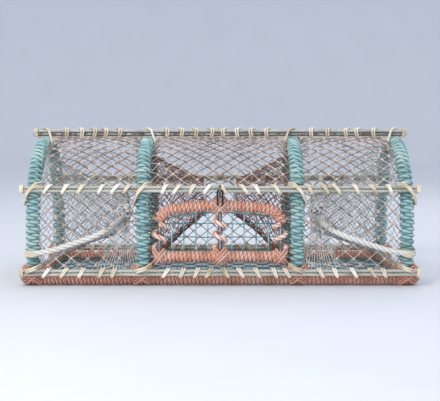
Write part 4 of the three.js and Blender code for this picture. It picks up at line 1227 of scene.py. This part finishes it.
class POT_OT_door(bpy.types.Operator):
    """Make the door's steel frame, its wound bars, mesh, spiral lacings and crossed lashings"""
    bl_idname = "pot.door"
    bl_label = "Door"

    def execute(self, context):
        self.frame_bars()
        self.wind_bars()
        self.mesh()
        self.lace()
        self.cross_lash()
        return {"FINISHED"}

    def frame_bars(self):
        weave = Weave()
        bow = evened(door_bow(0.0), 120)
        weave.tubes(bow, DOOR_BACK, ROD_RADIUS, 16, tint=0.5)
        for ends in ([(-DOOR_STUB_REACH, 0.0), (DOOR_STUB_REACH, 0.0)], [(0.0, 0.0), (0.0, DOOR_HEIGHT)]):
            line = door_place(*np.array(ends).T)
            weave.tubes(evened(line, 12), DOOR_BACK, ROD_RADIUS, 16, tint=0.5)
        weave.build("door_steel_frame", "door", "steel", "galvanised_steel", "door_frame")

    def wind_bars(self):
        sill = door_place(np.array([-DOOR_SILL_REACH, DOOR_SILL_REACH]), np.array([0.0, 0.0]))
        for name, line in (("top", door_bow(DOOR_CORNER_HEIGHT)), ("sill", sill)):
            weave = Weave()
            wind_bar(weave, evened(line, 160), DOOR_BACK, DOOR_SERVING, len(name) * 9, 0.45)
            weave.build(f"door_{name}_winding", "door", *ORANGE, f"door_{name}_serving")

    def mesh_rows(self):
        """Height of the lowest wire across, and the distance from one to the next."""
        bar = math.sqrt(DOOR_SERVING ** 2 - (MESH_BEHIND_POST - SOLID_WIRE) ** 2)
        foot = bar + SOLID_WIRE + TOUCH_GAP
        return foot, (DOOR_CORNER_HEIGHT - 6 * MM - foot) / 2

    def mesh(self):
        wire = sizes().mesh_wire / 2
        foot, pitch = self.mesh_rows()
        top = lambda u: DOOR_ARCH_CENTRE + np.sqrt(DOOR_ARCH_RADIUS ** 2 - u ** 2) - foot - wire
        weave = Weave()
        maker = np.random.default_rng(8)
        columns = 10
        us = np.linspace(-DOOR_HALF_WIDTH, DOOR_HALF_WIDTH, columns + 1)
        for k, u in enumerate(us):
            outer = k in (0, columns)
            end = foot + 2 * pitch if outer else top(u)
            v = np.linspace(foot, end, 16)
            shift = 0.0 if outer else 0.8 * MM * wander(v, k, 0.09)
            line = door_place(u + shift, v, MESH_BEHIND_POST)
            weave.tubes(line, DOOR_BACK, wire, 8, tint=maker.uniform(0.7, 1.0))
        u = np.linspace(us[0], us[-1], columns * 6 + 1)
        over = np.cos(np.arange(len(u)) / 6 * math.pi)
        for k in range(3):
            sag = 1.2 * MM * wander(u, k + 4, 0.12)
            line = door_place(u, foot + k * pitch + sag, MESH_BEHIND_POST + over * (-1) ** k * 2.4 * MM)
            weave.tubes(line, DOOR_BACK, wire * 0.85, 8, tint=maker.uniform(0.3, 0.65))
        inner = np.linspace(us[1], us[-2], (columns - 2) * 6 + 1)
        line = door_place(inner, top(inner), MESH_BEHIND_POST)
        weave.tubes(line, DOOR_BACK, wire, 8, tint=0.7)
        weave.build("door_wire_mesh", "door", "teal_mesh", "coated_mesh_wire", "door_mesh")

    def lace(self):
        rope = sizes().lacing_rope / 2
        foot, pitch = self.mesh_rows()
        # the spiral passes in front of the post and behind the mesh's outer wire
        set_back = (MESH_BEHIND_POST + SOLID_WIRE - ROD_RADIUS) / 2
        around = (MESH_BEHIND_POST + SOLID_WIRE + ROD_RADIUS) / 2 + TOUCH_GAP + rope
        start = DOOR_SERVING + rope + TOUCH_GAP
        for name, x, hand, turns in (("left", -DOOR_HALF_WIDTH, -1, 2), ("centre", 0.0, -1, 2.5),
                                     ("right", DOOR_HALF_WIDTH, 1, 2)):
            end = foot + turns * pitch
            v = np.linspace(start, end, int((end - start) / pitch * 28))
            angle = -math.pi / 2 + hand * (v - foot) * FULL / pitch
            line = door_place(x + around * np.cos(angle), v, set_back + around * np.sin(angle))
            weave = Weave()
            weave.tubes(line, line - door_place(x, v, set_back), rope, 15, lay=rope * LAY, depth=0.14, tint=0.85)
            weave.build(f"door_{name}_spiral", "door", *ORANGE,
                        f"door_{name}_lacing")

    def cross_lash(self):
        """Crossed turns where the posts meet the wound bars."""
        rope = 4.3 * MM
        t = circle(36)
        weave = Weave()
        for x, up, strands in ((0.0, 0.0, 3), (0.0, DOOR_HEIGHT, 3), (-DOOR_HALF_WIDTH, 0.0, 2),
                               (DOOR_HALF_WIDTH, 0.0, 2)):
            for lean in (-1, 1):
                for strand in range(strands):
                    offset = (strand - (strands - 1) / 2) * rope * 1.9
                    wide = 15 * MM if x else 18 * MM
                    across = np.cos(t) * wide + lean * offset * 0.7
                    rise = lean * np.cos(t) * 18 * MM - offset * 0.7
                    back = np.sin(t) * (18.5 + 2.6 * (lean > 0)) * MM
                    line = door_place(x + across, up + rise, back)
                    weave.tubes(line, carried(line, True), rope, 10, lay=rope * LAY, depth=0.28,
                                tint=0.45 + 0.15 * strand, closed=True)
        weave.build("door_crossed_lashings", "door", *ORANGE)


class POT_OT_latch(bpy.types.Operator):
    """Bend the wire hook round the side rod and stretch the rubber band to it"""
    bl_idname = "pot.latch"
    bl_label = "Latch"

    def execute(self, context):
        root = self.hook()
        self.band(root)
        return {"FINISHED"}

    def hook(self):
        ring, drop, set_out = 18.7 * MM, -1.8 * MM, 1.9 * MM
        angle = np.radians(np.linspace(30, -222, 60))
        rising = drop + ring * np.cos(angle)
        outward = set_out + ring * np.sin(angle)
        root = rising[-1]
        t = np.linspace(0, 1, 10)
        bend = 7 * MM
        horn = 35 * MM
        rising = np.concatenate([rising, [root], root + bend * t ** 2, [root + 18 * MM]])
        outward = np.concatenate([outward, [horn - bend - 1 * MM], horn - bend * (1 - t) ** 2,
                                  [horn + 1.5 * MM]])
        line = evened(by_rod("front_side", 0, rising, outward), 90)
        weave = Weave()
        weave.tubes(line, (1, 0, 0), 3 * MM, 12, tint=0.5)
        weave.build("latch_wire_hook", "pot", "steel", "galvanised_steel", "latch_hook")
        return root

    def band(self, root):
        half, radius = 7 * MM, 3 * MM
        upper = by_rod("front_side", 0, root, 18 * MM)
        lower = door_place(0.0, DOOR_HEIGHT)
        lower[1] -= DOOR_SERVING + TOUCH_GAP + radius
        rise = (upper - lower) / np.linalg.norm(upper - lower)
        upper = upper + rise * 3 * MM
        lower = lower + rise * half
        across = np.array([1.0, 0, 0])
        line = []
        for centre, start in ((upper, 0), (lower, math.pi)):
            for angle in start + np.linspace(0, math.pi, 16):
                line.append(centre + (across * math.cos(angle) + rise * math.sin(angle)) * half)
        weave = Weave()
        weave.tubes(np.array(line), np.cross(across, rise), radius, 10, tint=0.5, closed=True)
        weave.build("latch_rubber_band", "door", "rubber", "natural_rubber", "latch_band")


class POT_PT_panel(bpy.types.Panel):
    """Lists the steps that dress the pot"""
    bl_label = "Lobster Pot"
    bl_idname = "POT_PT_panel"
    bl_space_type = "VIEW_3D"
    bl_region_type = "UI"
    bl_category = "Lobster Pot"

    def draw(self, context):
        layout = self.layout
        for operator in STEPS:
            layout.operator(operator.bl_idname)
        for group, owner in ((PotSizes, context.scene.pot_sizes), (PotColours, context.scene.pot_colours)):
            box = layout.box()
            for name in group.__annotations__:
                box.prop(owner, name)


STEPS = (POT_OT_stage, POT_OT_white_ropes, POT_OT_stretch_line, POT_OT_bows, POT_OT_base, POT_OT_rods,
         POT_OT_netting, POT_OT_funnels, POT_OT_bunches, POT_OT_floor_mesh, POT_OT_door, POT_OT_latch)
CLASSES = (PotSizes, PotColours, *STEPS, POT_PT_panel)


def register():
    for item in CLASSES:
        bpy.utils.register_class(item)
    bpy.types.Scene.pot_sizes = PointerProperty(type=PotSizes)
    bpy.types.Scene.pot_colours = PointerProperty(type=PotColours)


def unregister():
    del bpy.types.Scene.pot_colours
    del bpy.types.Scene.pot_sizes
    for item in reversed(CLASSES):
        bpy.utils.unregister_class(item)


def main():
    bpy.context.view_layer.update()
    register()
    for step in STEPS:
        area, name = step.bl_idname.split(".")
        getattr(getattr(bpy.ops, area), name)()
    bpy.context.view_layer.update()


if __name__ == "__main__":
    main()
